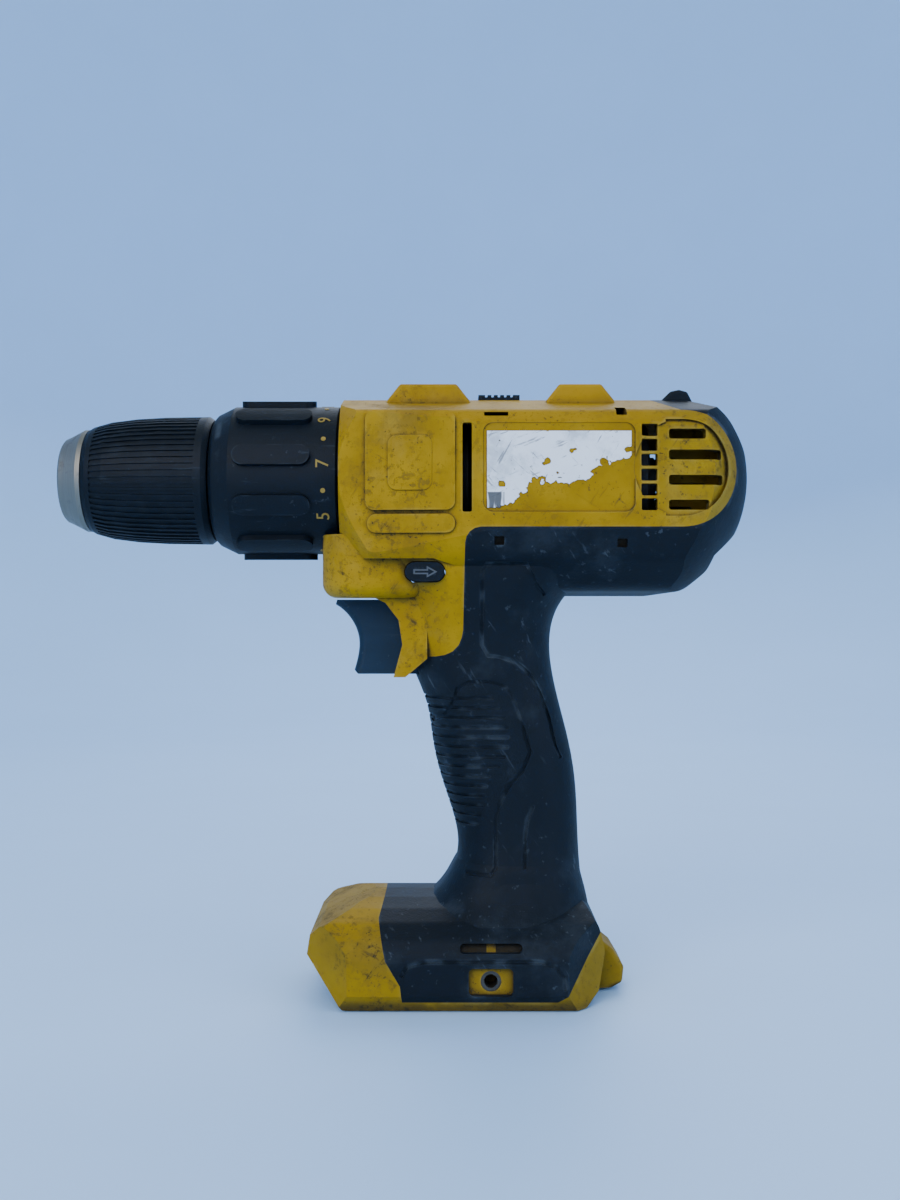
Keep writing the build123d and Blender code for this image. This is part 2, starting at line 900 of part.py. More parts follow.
gear_rear = -2.5  # back face of the first planet stage
stage_pitch = planet_width + carrier_plate + 2 * stage_gap
carrier_radius = 16.5
tooth_tip_share = 0.13  # half width of a tooth at its tip, as a share of the pitch
tooth_root_share = 0.30
shift_ring_width = 5.0
shift_groove = 0.8
case_back = gear_rear + 0.55
case_front = -34.5
case_front_wall = 2.6
nose_radius = 14.5
nose_front = -78.2
spindle_radius = 6.0
front_bearing = (-73.4, -66.4, 12.0)  # front, back and outer radius
rear_bush = (-43.0, -36.0, 9.0)
nose_bore = 8.0
spindle_end = -93.2
screw_bore = 2.9
clutch_pin_radius = 1.5
clutch_pin_circle = 18.2
clutch_pin_count = 6


def ring_points(teeth, tip, root, phase):
    """Corner points of a wheel with straight-sided teeth, the first tooth at the phase angle."""
    step = 2 * math.pi / teeth
    points = []
    for index in range(teeth):
        middle = phase + index * step
        for radius, share in (
            (root, -tooth_root_share),
            (tip, -tooth_tip_share),
            (tip, tooth_tip_share),
            (root, tooth_root_share),
        ):
            turn = middle + share * step
            points.append((radius * math.cos(turn), radius * math.sin(turn)))
    return points


def wheel(teeth, pitch_radius, x, centre=(0.0, 0.0), phase=0.0):
    """A spur gear over a range of x, round a centre off the spindle axis."""
    tip = pitch_radius + tooth_addendum
    root = pitch_radius - tooth_dedendum
    with BuildPart() as gear:
        with BuildSketch(cross_plane(x[0])):
            with BuildLine():
                Polyline(
                    *[(centre[0] + y, centre[1] + z) for y, z in ring_points(teeth, tip, root, phase)],
                    close=True,
                )
            make_face()
        extrude(amount=x[1] - x[0])
    return gear


def axial_rod(x, radius, centre=(0.0, 0.0)):
    """A round rod along X over a range of x."""
    with BuildPart() as rod:
        with BuildSketch(cross_plane(x[0])):
            with Locations(centre):
                Circle(radius)
        extrude(amount=x[1] - x[0])
    return rod


def axial_tube(x, inner, outer):
    """A round tube on the spindle axis."""
    return turned([(x[0], inner), (x[0], outer), (x[1], outer), (x[1], inner)])


def planet_centres():
    """Angles and centres of the planets round the axis."""
    turns = [2 * math.pi * index / planet_count for index in range(planet_count)]
    return [(turn, (orbit_radius * math.cos(turn), orbit_radius * math.sin(turn))) for turn in turns]


def stage_back(stage):
    """Back face of a stage's planets, counted from 1 at the motor."""
    return gear_rear - (stage - 1) * stage_pitch


def carrier(stage):
    """Plate in front of a stage's planets, with their pins."""
    back = stage_back(stage)
    plate_back = back - planet_width - stage_gap
    pieces = [axial_rod((plate_back - carrier_plate, plate_back), carrier_radius)]
    for turn, centre in planet_centres():
        pieces.append(axial_rod((plate_back, back - 0.1), planet_pin_radius, centre))
    return pieces, plate_back - carrier_plate


def ring_gear(x):
    """A ring with inner teeth over a range of x."""
    half_tooth = math.pi / ring_teeth
    tip = ring_radius - tooth_addendum
    root = ring_radius + tooth_dedendum
    with BuildPart() as ring:
        with BuildSketch(cross_plane(x[0])):
            Circle(ring_outer)
            with BuildLine():
                Polyline(*ring_points(ring_teeth, tip, root, half_tooth), close=True)
            make_face(mode=Mode.SUBTRACT)
        extrude(amount=x[1] - x[0])
    return ring


def build_gears():
    """Planet stages, their rings and carriers, the spindle and the case."""
    for stage in range(1, stage_count + 1):
        back = stage_back(stage)
        for index, (turn, centre) in enumerate(planet_centres()):
            planet = wheel(planet_teeth, planet_radius, (back - planet_width, back), centre, turn)
            hole = axial_rod((back - planet_width - 1, back + 1), planet_pin_radius + running_gap, centre)
            save(less(planet, hole), f"planet_{stage}_{index + 1}")
        pieces, front = carrier(stage)
        if stage < stage_count:
            sun_front = stage_back(stage + 1) - planet_width
            pieces.append(wheel(sun_teeth, sun_radius, (sun_front, front)))
            bore = axial_rod((sun_front - 1, back), shaft_radius)
            save(less(joined(pieces), bore), f"carrier_{stage}")
        else:
            pieces.append(axial_rod((spindle_end, front), spindle_radius))
            bore = axial_rod((spindle_end - 1, spindle_end + 12), screw_bore + press_gap)
            save(less(joined(pieces), bore), "spindle")
    end_gap = 0.2
    ring_1 = (gear_rear - planet_width - end_gap, gear_rear + end_gap)
    save(ring_gear(ring_1), "ring_gear_1")
    ring_2_front = stage_back(2) - planet_width
    ring_2 = (ring_2_front, ring_2_front + shift_ring_width)
    groove_x = (fork_x - 1.2, fork_x + 1.2)
    groove = axial_tube(groove_x, ring_outer - shift_groove, ring_outer + 1)
    save(less(ring_gear(ring_2), groove), "ring_gear_2")
    ring_3 = (stage_back(3) - planet_width - end_gap, stage_back(3) + end_gap)
    save(ring_gear(ring_3), "ring_gear_3")
    wall_back = case_front + case_front_wall
    case_inside = ring_outer + press_gap
    case = turned(
        [
            (case_back, case_inside),
            (case_back, case_radius),
            (case_front, case_radius),
            (case_front, nose_radius),
            (nose_front, nose_radius),
            (nose_front, front_bearing[2] + press_gap),
            (front_bearing[1] + press_gap, front_bearing[2] + press_gap),
            (front_bearing[1] + press_gap, nose_bore),
            (rear_bush[0] - press_gap, nose_bore),
            (rear_bush[0] - press_gap, rear_bush[2] + press_gap),
            (wall_back, rear_bush[2] + press_gap),
            (wall_back, case_inside),
        ]
    )
    pins, pin_holes = [], []
    for index in range(clutch_pin_count):
        turn = 2 * math.pi * (index + 0.5) / clutch_pin_count
        centre = (clutch_pin_circle * math.cos(turn), clutch_pin_circle * math.sin(turn))
        pins.append(axial_rod((case_front - 1.8, ring_3[0] - end_gap), clutch_pin_radius, centre))
        hole_radius = clutch_pin_radius + running_gap
        pin_holes.append(axial_rod((case_front - 1, wall_back + 1), hole_radius, centre))
    fork_slot = block(
        (fork_x - 1.3, fork_x + selector_travel + 1.3), (-1.3, 1.3), (axis_height, 2 * axis_height)
    )
    save(less(case, *pin_holes, fork_slot), "gear_case")
    save(joined(pins), "clutch_pins")
    save(
        joined(
            [
                axial_tube(front_bearing[:2], spindle_radius + running_gap, front_bearing[2]),
                axial_tube(rear_bush[:2], spindle_radius + running_gap, rear_bush[2]),
            ]
        ),
        "spindle_bearings",
    )


# Chuck

chuck_rear = -79.6
sleeve_front = chuck_rear - chuck_sleeve_length
chuck_front = sleeve_front - chuck_nose_length + 0.6
sleeve_inside = 18.9
nut_seat = 18.2  # inside of the sleeve where the nut is pressed in
jaw_room_front = -101.0
# x and radius of the sleeve's barrelled side, from the back to the front
sleeve_side = [
    (chuck_rear - 1.6, chuck_radius),
    (-95.0, chuck_radius - 0.2),
    (-104.0, chuck_radius - 0.7),
    (-112.0, chuck_radius - 1.7),
    (-117.5, chuck_radius - 3.2),
    (sleeve_front, chuck_radius - 4.1),
]
body_radius = 15.6
body_front_radius = 12.4
body_waist = 14.9
bore_radius = chuck_capacity / 2
bore_back = -98.0
screw_seat_x = -94.2  # under the head of the chuck's screw
screw_head = 4.2
jaw_tip = -118.0
jaw_open = bore_radius + 0.1  # distance of the gripping faces from the axis, wide open
jaw_axis_radius = jaw_open + 2.0  # centre of the jaw's rod at its tip
jaw_wedge = 5.95  # apex of the jaw's two slanted faces
nut_x = (-108.0, -102.0)
slant = math.radians(jaw_angle)
sleeve_ribs = 60
sleeve_rib_depth = 0.45
rib_x = (-116.0, -83.5)


def jaw_rod(radius, ends):
    """A slanted rod along the upper jaw's axis, over a range measured back from its tip."""
    start = (
        jaw_tip + ends[0] * math.cos(slant),
        0,
        axis_height + jaw_axis_radius + ends[0] * math.sin(slant),
    )
    with BuildPart() as rod:
        with BuildSketch(Plane(origin=start, x_dir=(0, 1, 0), z_dir=(math.cos(slant), 0, math.sin(slant)))):
            Circle(radius)
        extrude(amount=ends[1] - ends[0])
    return rod


def turned_copy(piece, degrees):
    """A piece turned about the spindle axis."""
    with BuildPart() as copy:
        add(piece.part.rotate(spindle_axis, degrees))
    return copy


def build_chuck():
    """Keyless chuck with its jaws wide open."""
    body = turned(
        [
            (chuck_front + 0.8, bore_radius),
            (chuck_front + 0.8, body_front_radius),
            (sleeve_front + 1.5, body_front_radius),
            (nut_x[0] - 1.0, body_waist),
            (nut_x[1] + 0.5, body_waist),
            (nut_x[1] + 0.5, body_radius),
            (chuck_rear, body_radius),
            (chuck_rear, spindle_radius + 0.02),
            (spindle_end - 0.2, spindle_radius + 0.02),
            (spindle_end - 0.2, screw_bore + press_gap),
            (screw_seat_x, screw_bore + press_gap),
            (screw_seat_x, screw_head + press_gap),
            (bore_back, screw_head + press_gap),
            (bore_back, bore_radius),
        ]
    )
    hole = jaw_rod(jaw_radius + running_gap, (-14.0, jaw_length - 4.0))
    jaw = jaw_rod(jaw_radius, (-4.0, jaw_length - 6.0))
    wedge = [(0.0, jaw_wedge), (-30.0 * math.tan(math.pi / 3), jaw_wedge + 30.0)]
    wedge.append((-wedge[1][0], wedge[1][1]))
    with BuildPart() as wedge_prism:
        with BuildSketch(cross_plane(jaw_tip)):
            with BuildLine():
                Polyline(*wedge, close=True)
            make_face()
        extrude(amount=2 * jaw_length)
    jaw = common(jaw, wedge_prism)
    flat = block((-200, 0), (-20, 20), (axis_height - 20, axis_height + jaw_open))
    jaw = less(jaw, flat)
    holes = []
    for index in range(jaw_count):
        turn = 360.0 * index / jaw_count
        save(turned_copy(jaw, turn), f"jaw_{index + 1}")
        holes.append(turned_copy(hole, turn))
    save(less(body, *holes), "chuck_body")
    nose = turned(
        [
            (sleeve_front - 0.2, body_front_radius + 0.02),
            (sleeve_front - 0.2, 16.2),
            (sleeve_front - 1.6, 16.2),
            (chuck_front + 2.2, 14.0),
            (chuck_front + 0.6, 13.3),
            (chuck_front, 12.6),
            (chuck_front, 11.0),
            (chuck_front + 0.7, 10.6),
            (chuck_front + 0.7, body_front_radius + 0.02),
        ]
    )
    save(nose, "chuck_nose")
    sleeve = turned(
        [
            (chuck_rear, body_radius + running_gap),
            (chuck_rear, chuck_radius - 1.2),
            *sleeve_side,
            (sleeve_front, 14.2),
            (-109.5, nut_seat - 0.9),
            (-109.5, nut_seat),
            (jaw_room_front, nut_seat),
            (jaw_room_front + 1.0, sleeve_inside),
            (chuck_rear - 2.4, sleeve_inside),
            (chuck_rear - 2.4, body_radius + running_gap),
        ]
    )
    core = turned(
        [
            (chuck_rear, 0),
            *[(x, radius - sleeve_rib_depth) for x, radius in sleeve_side],
            (sleeve_front, 0),
        ]
    )
    with BuildPart() as ribs:
        with BuildSketch(cross_plane(rib_x[0])):
            Circle(chuck_radius + 2)
            with BuildLine():
                Polyline(*ring_points(sleeve_ribs, chuck_radius + 1, body_radius, 0.0), close=True)
            make_face(mode=Mode.SUBTRACT)
        extrude(amount=rib_x[1] - rib_x[0])
    save(less(sleeve, less(ribs, core)), "chuck_sleeve")
    nut_outer = nut_seat - 0.02
    nut_front_bore = body_waist + 0.35
    nut_back_bore = nut_front_bore + (nut_x[1] - nut_x[0]) * math.tan(slant)
    nut = [
        (nut_x[0], nut_front_bore),
        (nut_x[0], nut_outer),
        (nut_x[1], nut_outer),
        (nut_x[1], nut_back_bore),
    ]
    save(turned(nut), "chuck_nut")
    screw = joined(
        [
            axial_rod((screw_seat_x - 3.4, screw_seat_x - press_gap), screw_head),
            axial_rod((screw_seat_x - press_gap, spindle_end + 11.0), screw_bore),
        ]
    )
    with BuildPart() as driver:
        with BuildSketch(cross_plane(screw_seat_x - 4)):
            Rectangle(1.4, 6.0)
            Rectangle(6.0, 1.4)
        extrude(amount=2.2)
    save(less(screw, driver), "chuck_screw")


# Clutch

collar_rear = -39.3
collar_front = collar_rear - collar_length
collar_inside = collar_radius - collar_wall
collar_nose = 2.4  # thickness of the collar's front wall
pad_length = 23.6
pad_width = 6.4
pad_middle = -59.2
pad_turn = 13.9  # first pad above the left-hand horizontal
nut_rest = (-65.0, -60.3)
washer_x = (-38.0, -36.5)
spring_wire = 1.1
spring_turns = 4.5
spring_radius = 17.7


def coil(start, length, turns, radius, wire):
    """A helical spring along X, from the middle of its first turn's wire."""
    rise = length - 2 * wire
    with BuildPart() as spring:
        with BuildLine() as path:
            Helix(rise / turns, rise, radius, center=start, direction=(1, 0, 0))
        with BuildSketch(Plane(origin=path.line @ 0, z_dir=path.line % 0)):
            Circle(wire)
        sweep(path=path.line)
    return spring


def build_clutch():
    """Torque collar on the gear case's nose, with its nut, spring, washer and pins."""
    collar = turned(
        [
            (collar_rear, collar_inside),
            (collar_rear, collar_radius - 0.5),
            (collar_rear - 0.5, collar_radius),
            (collar_front + 6.5, collar_radius),
            (collar_front + 1.2, collar_radius - 2.6),
            (collar_front, collar_radius - 4.0),
            (collar_front, nose_radius + running_gap),
            (collar_front + collar_nose, nose_radius + running_gap),
            (collar_front + collar_nose, collar_inside),
        ]
    )
    with BuildPart() as pads:
        for index in range(collar_pad_count):
            turn = math.radians(180 - pad_turn + 360 * index / collar_pad_count)
            outward = (0, math.cos(turn), math.sin(turn))
            foot = Plane(origin=(pad_middle, 0, axis_height), x_dir=(1, 0, 0), z_dir=outward)
            with BuildSketch(foot.offset(collar_radius - 0.9)):
                SlotOverall(pad_length, pad_width)
            extrude(amount=6)
    pad_limit = axial_rod((collar_front, collar_rear), collar_radius + collar_pad_height)
    save(joined([collar, common(pads, pad_limit)]), "clutch_collar")
    save(axial_tube(nut_rest, nose_radius + running_gap, collar_inside - 0.1), "clutch_nut")
    save(axial_tube(washer_x, nose_radius + 0.3, clutch_pin_circle + 2.0), "clutch_washer")
    spring_length = washer_x[0] - nut_rest[1] - 2 * press_gap
    start = (nut_rest[1] + press_gap + spring_wire, 0, axis_height)
    save(coil(start, spring_length, spring_turns, spring_radius, spring_wire), "clutch_spring")


# Motor

can_front = 0.8
can_rear = can_front + motor_length
plate_x = (gear_rear + 0.6, can_front - 0.2)
magnet_x = (8.0, 44.0)
magnet_arc = 140.0
rotor_x = (16.0, 40.0)
rotor_slots = 8
rotor_slot_width = 2.6
rotor_slot_depth = 5.0
end_turn = 4.4  # length of the windings past each end of the core
commutator_x = (45.5, 51.8)
commutator_radius = 5.5
fan_x = (7.4, 11.0)
fan_blades = 9
fan_radius = 13.5
fan_eye = 7.5  # where the blades start, from the axis
motor_bearing_radius = 6.0
bearing_width = 4.0
bell_depth = 7.0
brush_x = (46.6, 50.6)
brush_width = 5.0
brush_end = 13.0
holder_wall = 1.2  # of the brush holders
shaft_front = gear_rear - planet_width - 0.1


def build_motor():
    """Brushed motor with its pinion, and the plate in front of it."""
    magnet_outer = motor_radius - motor_wall - press_gap
    magnet_inner = magnet_outer - magnet_thickness
    rotor_radius = magnet_inner - rotor_air_gap
    seat = motor_bearing_radius + press_gap
    save(axial_tube(plate_x, 8.6, case_radius), "motor_plate")
    front_end = can_front + 1.6
    can = turned(
        [
            (can_rear, motor_radius - motor_wall),
            (can_rear, motor_radius),
            (can_front + 1.5, motor_radius),
            (can_front, motor_radius - 1.5),
            (can_front, 4.0),
            (front_end, 4.0),
            (front_end, seat),
            (front_end + bearing_width, seat),
            (front_end + bearing_width, seat + 1.2),
            (front_end + 0.4, seat + 1.2),
            (front_end + 0.4, motor_radius - motor_wall),
        ]
    )
    windows = []
    for index in range(4):
        turn = math.radians(45 + 90 * index)
        middle = (12.0 * math.cos(turn), 12.0 * math.sin(turn))
        windows.append(axial_rod((can_front - 1, can_front + 2.2), 3.4, middle))
    save(less(can, *windows), "motor_can")
    magnets = axial_tube(magnet_x, magnet_inner, magnet_outer)
    half_gap = math.radians((180.0 - magnet_arc) / 2)
    reach = 40.0
    wedge = [(0, 0), (reach, reach * math.tan(half_gap)), (reach, -reach * math.tan(half_gap))]
    gaps = []
    for side in (-1, 1):
        with BuildPart() as gap:
            with BuildSketch(cross_plane(magnet_x[0] - 1)):
                with BuildLine():
                    Polyline(*[(side * y, z) for y, z in wedge], close=True)
                make_face()
            extrude(amount=magnet_x[1] - magnet_x[0] + 2)
        gaps.append(gap)
    save(less(magnets, *gaps), "motor_magnets")
    save(axial_rod((shaft_front, can_rear + bell_depth - 1.0), shaft_radius), "motor_shaft")
    bore = axial_rod((-100, 100), shaft_radius + 0.02)
    pinion = joined(
        [
            wheel(sun_teeth, sun_radius, (gear_rear - planet_width, gear_rear)),
            axial_rod((gear_rear, plate_x[0] + 1.0), sun_radius - tooth_dedendum),
        ]
    )
    save(less(pinion, bore), "motor_pinion")
    slots, bars = [], []
    for index in range(rotor_slots):
        turn = 360.0 * index / rotor_slots
        low = axis_height + rotor_radius - rotor_slot_depth
        half = rotor_slot_width / 2
        slot = block((rotor_x[0] - 1, rotor_x[1] + 1), (-half, half), (low, low + 2 * rotor_slot_depth))
        half -= press_gap
        bar_top = axis_height + rotor_radius - 0.8
        bar_x = (rotor_x[0] - 1, rotor_x[1] + 1)
        bar = block(bar_x, (-half, half), (low + press_gap, bar_top))
        slots.append(turned_copy(slot, turn))
        bars.append(turned_copy(bar, turn))
    save(less(axial_tube(rotor_x, shaft_radius + 0.02, rotor_radius), *slots), "rotor_core")
    coil_inner = shaft_radius + 2.5
    coil_outer = rotor_radius - 0.8
    bevel = 1.2
    turns = []
    for face, out in ((rotor_x[0] - 0.1, -1), (rotor_x[1] + 0.1, 1)):
        end = face + out * end_turn
        turns.append(
            turned(
                [
                    (face, coil_inner),
                    (face, coil_outer),
                    (end - out * bevel, coil_outer),
                    (end, coil_outer - 2 * bevel),
                    (end, coil_inner),
                ]
            )
        )
    save(joined([*turns, *bars]), "rotor_windings")
    segments = []
    for index in range(rotor_slots):
        cut = block(
            (commutator_x[0] + 1.5, commutator_x[1] + 1),
            (-0.25, 0.25),
            (axis_height + commutator_radius - 0.7, axis_height + commutator_radius + 1),
        )
        segments.append(turned_copy(cut, 360.0 * (index + 0.5) / rotor_slots))
    save(less(axial_tube(commutator_x, shaft_radius + 0.02, commutator_radius), *segments), "commutator")
    fan_parts = [
        axial_tube((fan_x[1] - 1.0, fan_x[1]), shaft_radius + 0.02, fan_radius),
        axial_tube((fan_x[0] + 0.3, fan_x[1]), shaft_radius + 0.02, 4.5),
    ]
    for index in range(fan_blades):
        blade = block(
            (fan_x[0] + 0.3, fan_x[1] - 0.5),
            (1.0, 2.0),
            (axis_height + fan_eye, axis_height + fan_radius - 0.4),
        )
        fan_parts.append(turned_copy(blade, 360.0 * index / fan_blades))
    save(joined(fan_parts), "motor_fan")
    rear_seat = can_rear + 1.8
    front_race = (front_end + 0.1, front_end + bearing_width - 0.1)
    rear_race = (rear_seat, rear_seat + bearing_width)
    save(
        joined(
            [
                axial_tube(front_race, shaft_radius + running_gap, motor_bearing_radius),
                axial_tube(rear_race, shaft_radius + running_gap, motor_bearing_radius),
            ]
        ),
        "motor_bearings",
    )
    bell = turned(
        [
            (can_rear + press_gap, 4.0),
            (can_rear + press_gap, motor_radius),
            (can_rear + 2.5, motor_radius),
            (can_rear + 3.4, motor_radius - 1.5),
            (can_rear + 3.4, seat + 1.6),
            (can_rear + bell_depth, seat + 1.4),
            (can_rear + bell_depth, 3.2),
            (rear_seat + bearing_width + press_gap, 3.2),
            (rear_seat + bearing_width + press_gap, seat),
            (rear_seat - press_gap, seat),
            (rear_seat - press_gap, 4.0),
        ]
    )
    holders, brushes, openings = [], [], []
    for side in (-1, 1):
        reach = sorted((side * 8.0, side * (brush_end + 2.0)))
        hole = sorted((side * 7.0, side * (brush_end + 4.0)))
        carbon = sorted((side * (commutator_radius + 0.05), side * brush_end))
        half = brush_width / 2
        holders.append(
            block(
                (brush_x[0] - holder_wall, can_rear + 1),
                (-half - holder_wall, half + holder_wall),
                (axis_height + reach[0], axis_height + reach[1]),
            )
        )
        openings.append(
            block(
                (brush_x[0] - press_gap, brush_x[1] + press_gap),
                (-half - press_gap, half + press_gap),
                (axis_height + hole[0], axis_height + hole[1]),
            )
        )
        brushes.append(block(brush_x, (-half, half), (axis_height + carbon[0], axis_height + carbon[1])))
        for turn in (-35, 35, 0):
            middle = math.radians(turn + (0 if side > 0 else 180))
            centre = (13.5 * math.cos(middle), 13.5 * math.sin(middle))
            openings.append(axial_rod((can_rear - 0.5, can_rear + 5), 2.4, centre))
    save(less(joined([bell, *holders]), *openings), "end_bell")
    save(joined(brushes), "motor_brushes")


# Trigger, switch, lamp and battery contacts

finger_curve = [
    (-40.9, 120.6),
    (-36.4, 116.6),
    (-33.6, 110.0),
    (-34.0, 104.0),
    (-35.0, 100.2),
]
switch_x = (-4.5, 20.5)
switch_z = (100.0, 121.0)
switch_half_width = 9.0
plunger_height = 110.5
plunger_radius = 2.0
spring_pocket = 8.0
spring_pocket_radius = 4.6
terminal_x = (12.0, 23.6)
terminal_z = (4.2, 11.9)
blade_places = [-12.0, -6.0, 0.0, 6.0, 12.0]
blade_front = -2.0


def lead(points, radius):
    """A wire along straight runs with rounded bends."""
    with BuildPart() as wire:
        with BuildLine() as path:
            FilletPolyline(*points, radius=3.0 * radius)
        with BuildSketch(Plane(origin=path.line @ 0, z_dir=path.line % 0)):
            Circle(radius)
        sweep(path=path.line)
    return wire


def build_electrics():
    """Trigger, direction button, speed selector, switch, lamp, contacts and leads."""
    with BuildPart() as trigger:
        with BuildSketch(side_plane):
            with BuildLine():
                Spline(*finger_curve)
                Polyline(
                    finger_curve[-1],
                    (finger_curve[-1][0] + 1.2, trigger_bottom),
                    (trigger_back, trigger_bottom),
                    (trigger_back, trigger_top),
                    (finger_curve[0][0] + 0.6, trigger_top),
                    finger_curve[0],
                )
            make_face()
        extrude(amount=trigger_half_width, both=True)
        curved = [e for e in trigger.edges() if e.geom_type == GeomType.BSPLINE]
        fillet(curved, 2.5)
    pocket_floor = trigger_back - spring_pocket
    plunger_place = (0, plunger_height - axis_height)
    pocket = axial_rod((pocket_floor, trigger_back + 1), spring_pocket_radius, plunger_place)
    plunger = axial_rod((pocket_floor - 1, switch_x[0] + 2.0), plunger_radius, plunger_place)
    save(joined([less(trigger, pocket), plunger]), "trigger")
    switch = block(switch_x, (-switch_half_width, switch_half_width), switch_z)
    plunger_hole = axial_rod((switch_x[0] - 1, switch_x[0] + 12), plunger_radius + fit_gap, plunger_place)
    save(less(switch, plunger_hole), "switch_module")
    spring_start = trigger_back - spring_pocket + press_gap
    spring_length = switch_x[0] - press_gap - spring_start
    save(coil((spring_start + 0.5, 0, plunger_height), spring_length, 6.0, 3.4, 0.5), "trigger_spring")
    button = side_stadium(button_place, button_length, button_height)
    save(common(button, block((-30, 10), (-25.5, 25.5), (120, 140))), "direction_button")
    plate_low = roof_inside + 0.2
    plate_high = plate_low + plate_thickness
    selector = joined(
        [
            block(
                selector_plate,
                (-selector_plate_half_width, selector_plate_half_width),
                (plate_low, plate_high),
            ),
            block(
                (selector_front, selector_front + selector_length),
                (-selector_half_width, selector_half_width),
                (plate_low, head_top + 1.6),
            ),
        ]
    )
    grips = []
    for index in range(5):
        middle = selector_front + 2.5 + index * 2.0
        grips.append(block((middle - 0.4, middle + 0.4), (-20, 20), (head_top + 0.9, head_top + 3)))
    save(less(selector, *grips), "speed_selector")
    fork = joined(
        [
            block((fork_x - 1.0, selector_plate[0] - 0.05), (-1.6, 1.6), (plate_low, plate_high)),
            block((fork_x - 1.0, fork_x + 1.0), (-1.0, 1.0), (axis_height + ring_outer - 0.6, plate_high)),
        ]
    )
    save(fork, "shift_fork")
    lens_x = (chin_front - 0.6, chin_front + 4.4)
    lens = block(lens_x, (-lens_half_width, lens_half_width), (lens_bottom, lens_top))
    with BuildPart() as rounded_lens:
        add(lens.part)
        fillet(rounded_lens.faces().sort_by(Axis.X)[0].edges(), 0.8)
    save(rounded_lens, "led_lens")
    riser = block(riser_x, (-riser_half_width, riser_half_width), (terminal_z[1], 18.0))
    body = block(terminal_x, (-16.0, 16.0), terminal_z)
    save(joined([body, riser]), "terminal_block")
    blade_x = (blade_front, terminal_x[0] - press_gap)
    blades = [block(blade_x, (y - 0.4, y + 0.4), (5.2, 10.6)) for y in blade_places]
    save(joined(blades), "terminal_blades")
    leads = []
    for side in (-1, 1):
        y = 6.0 * side
        battery = [(17, y, 18.1), (17, y, 30), (24, y, 46), (24, y, 88), (16, y, 95), (16, y, 99.9)]
        leads.append(lead(battery, 1.2))
        y = 4.0 * side
        leads.append(lead([(17, y, 121.1), (17, y, 135.8), (57.5, y, 135.8), (57.5, y, 138.9)], 1.0))
        y = 2.0 * side
        lamp_start = [(-39.9, y, 129), (-37, y, 127.4), (-20.4, y, 127.2)]
        lamp_end = [(-15.5, y, 125.2), (-1, y, 125.2), (-1, y, 121.1)]
        leads.append(lead([*lamp_start, *lamp_end], 0.6))
    save(joined(leads), "leads")


if __name__ == "__main__":
    build_housing()
    build_gears()
    build_chuck()
    build_clutch()
    build_motor()
    build_electrics()
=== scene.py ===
"""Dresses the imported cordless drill: worn finishes, dial marks, torn labels, springs and a stage.

Everything is in metres in the row frame: -X forwards out of the chuck, +Z up, left side to -Y.
"""

import math

import bpy
import numpy as np
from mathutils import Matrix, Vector


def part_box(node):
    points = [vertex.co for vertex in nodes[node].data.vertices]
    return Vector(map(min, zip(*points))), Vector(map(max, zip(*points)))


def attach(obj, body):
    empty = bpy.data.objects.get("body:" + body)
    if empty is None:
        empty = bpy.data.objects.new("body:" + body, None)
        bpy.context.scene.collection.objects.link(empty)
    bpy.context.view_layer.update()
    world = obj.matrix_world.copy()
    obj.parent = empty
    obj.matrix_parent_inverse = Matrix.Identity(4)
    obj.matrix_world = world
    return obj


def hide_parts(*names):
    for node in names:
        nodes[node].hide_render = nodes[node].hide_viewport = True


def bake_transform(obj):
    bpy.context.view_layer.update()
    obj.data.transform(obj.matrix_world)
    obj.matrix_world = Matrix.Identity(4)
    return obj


bl_info = {
    "name": "Cordless Drill Finish",
    "version": (1, 0, 0),
    "blender": (4, 5, 0),
    "location": "View3D > Sidebar > Drill",
    "description": "Finishes and small pieces for the packed cordless drill",
    "category": "Object",
}

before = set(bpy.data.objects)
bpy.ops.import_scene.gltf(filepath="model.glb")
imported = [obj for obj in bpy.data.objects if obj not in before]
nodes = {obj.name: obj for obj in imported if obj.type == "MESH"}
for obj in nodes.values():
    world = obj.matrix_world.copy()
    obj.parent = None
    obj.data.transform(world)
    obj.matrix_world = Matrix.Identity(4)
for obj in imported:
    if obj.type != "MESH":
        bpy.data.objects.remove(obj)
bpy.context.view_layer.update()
spindle_height = (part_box("clutch_collar")[0].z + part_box("clutch_collar")[1].z) / 2


# Shader maths


class Wire:
    """A number on its way through a material; arithmetic on it adds Math nodes."""

    def __init__(self, graph, socket):
        self.graph = graph
        self.socket = socket

    def __add__(self, other):
        return self.graph.math("ADD", self, other)

    def __radd__(self, other):
        return self.graph.math("ADD", other, self)

    def __rsub__(self, other):
        return self.graph.math("SUBTRACT", other, self)

    def __mul__(self, other):
        return self.graph.math("MULTIPLY", self, other)

    def __rmul__(self, other):
        return self.graph.math("MULTIPLY", other, self)

    def clip(self):
        """Held between 0 and 1."""
        return self.graph.math("ADD", self, 0.0, use_clamp=True)

    def step(self, low, high):
        """A smooth rise from 0 at low to 1 at high."""
        return self.graph.node(
            "ShaderNodeMapRange",
            {"interpolation_type": "SMOOTHSTEP"},
            {"Value": self, "From Min": low, "From Max": high},
        )


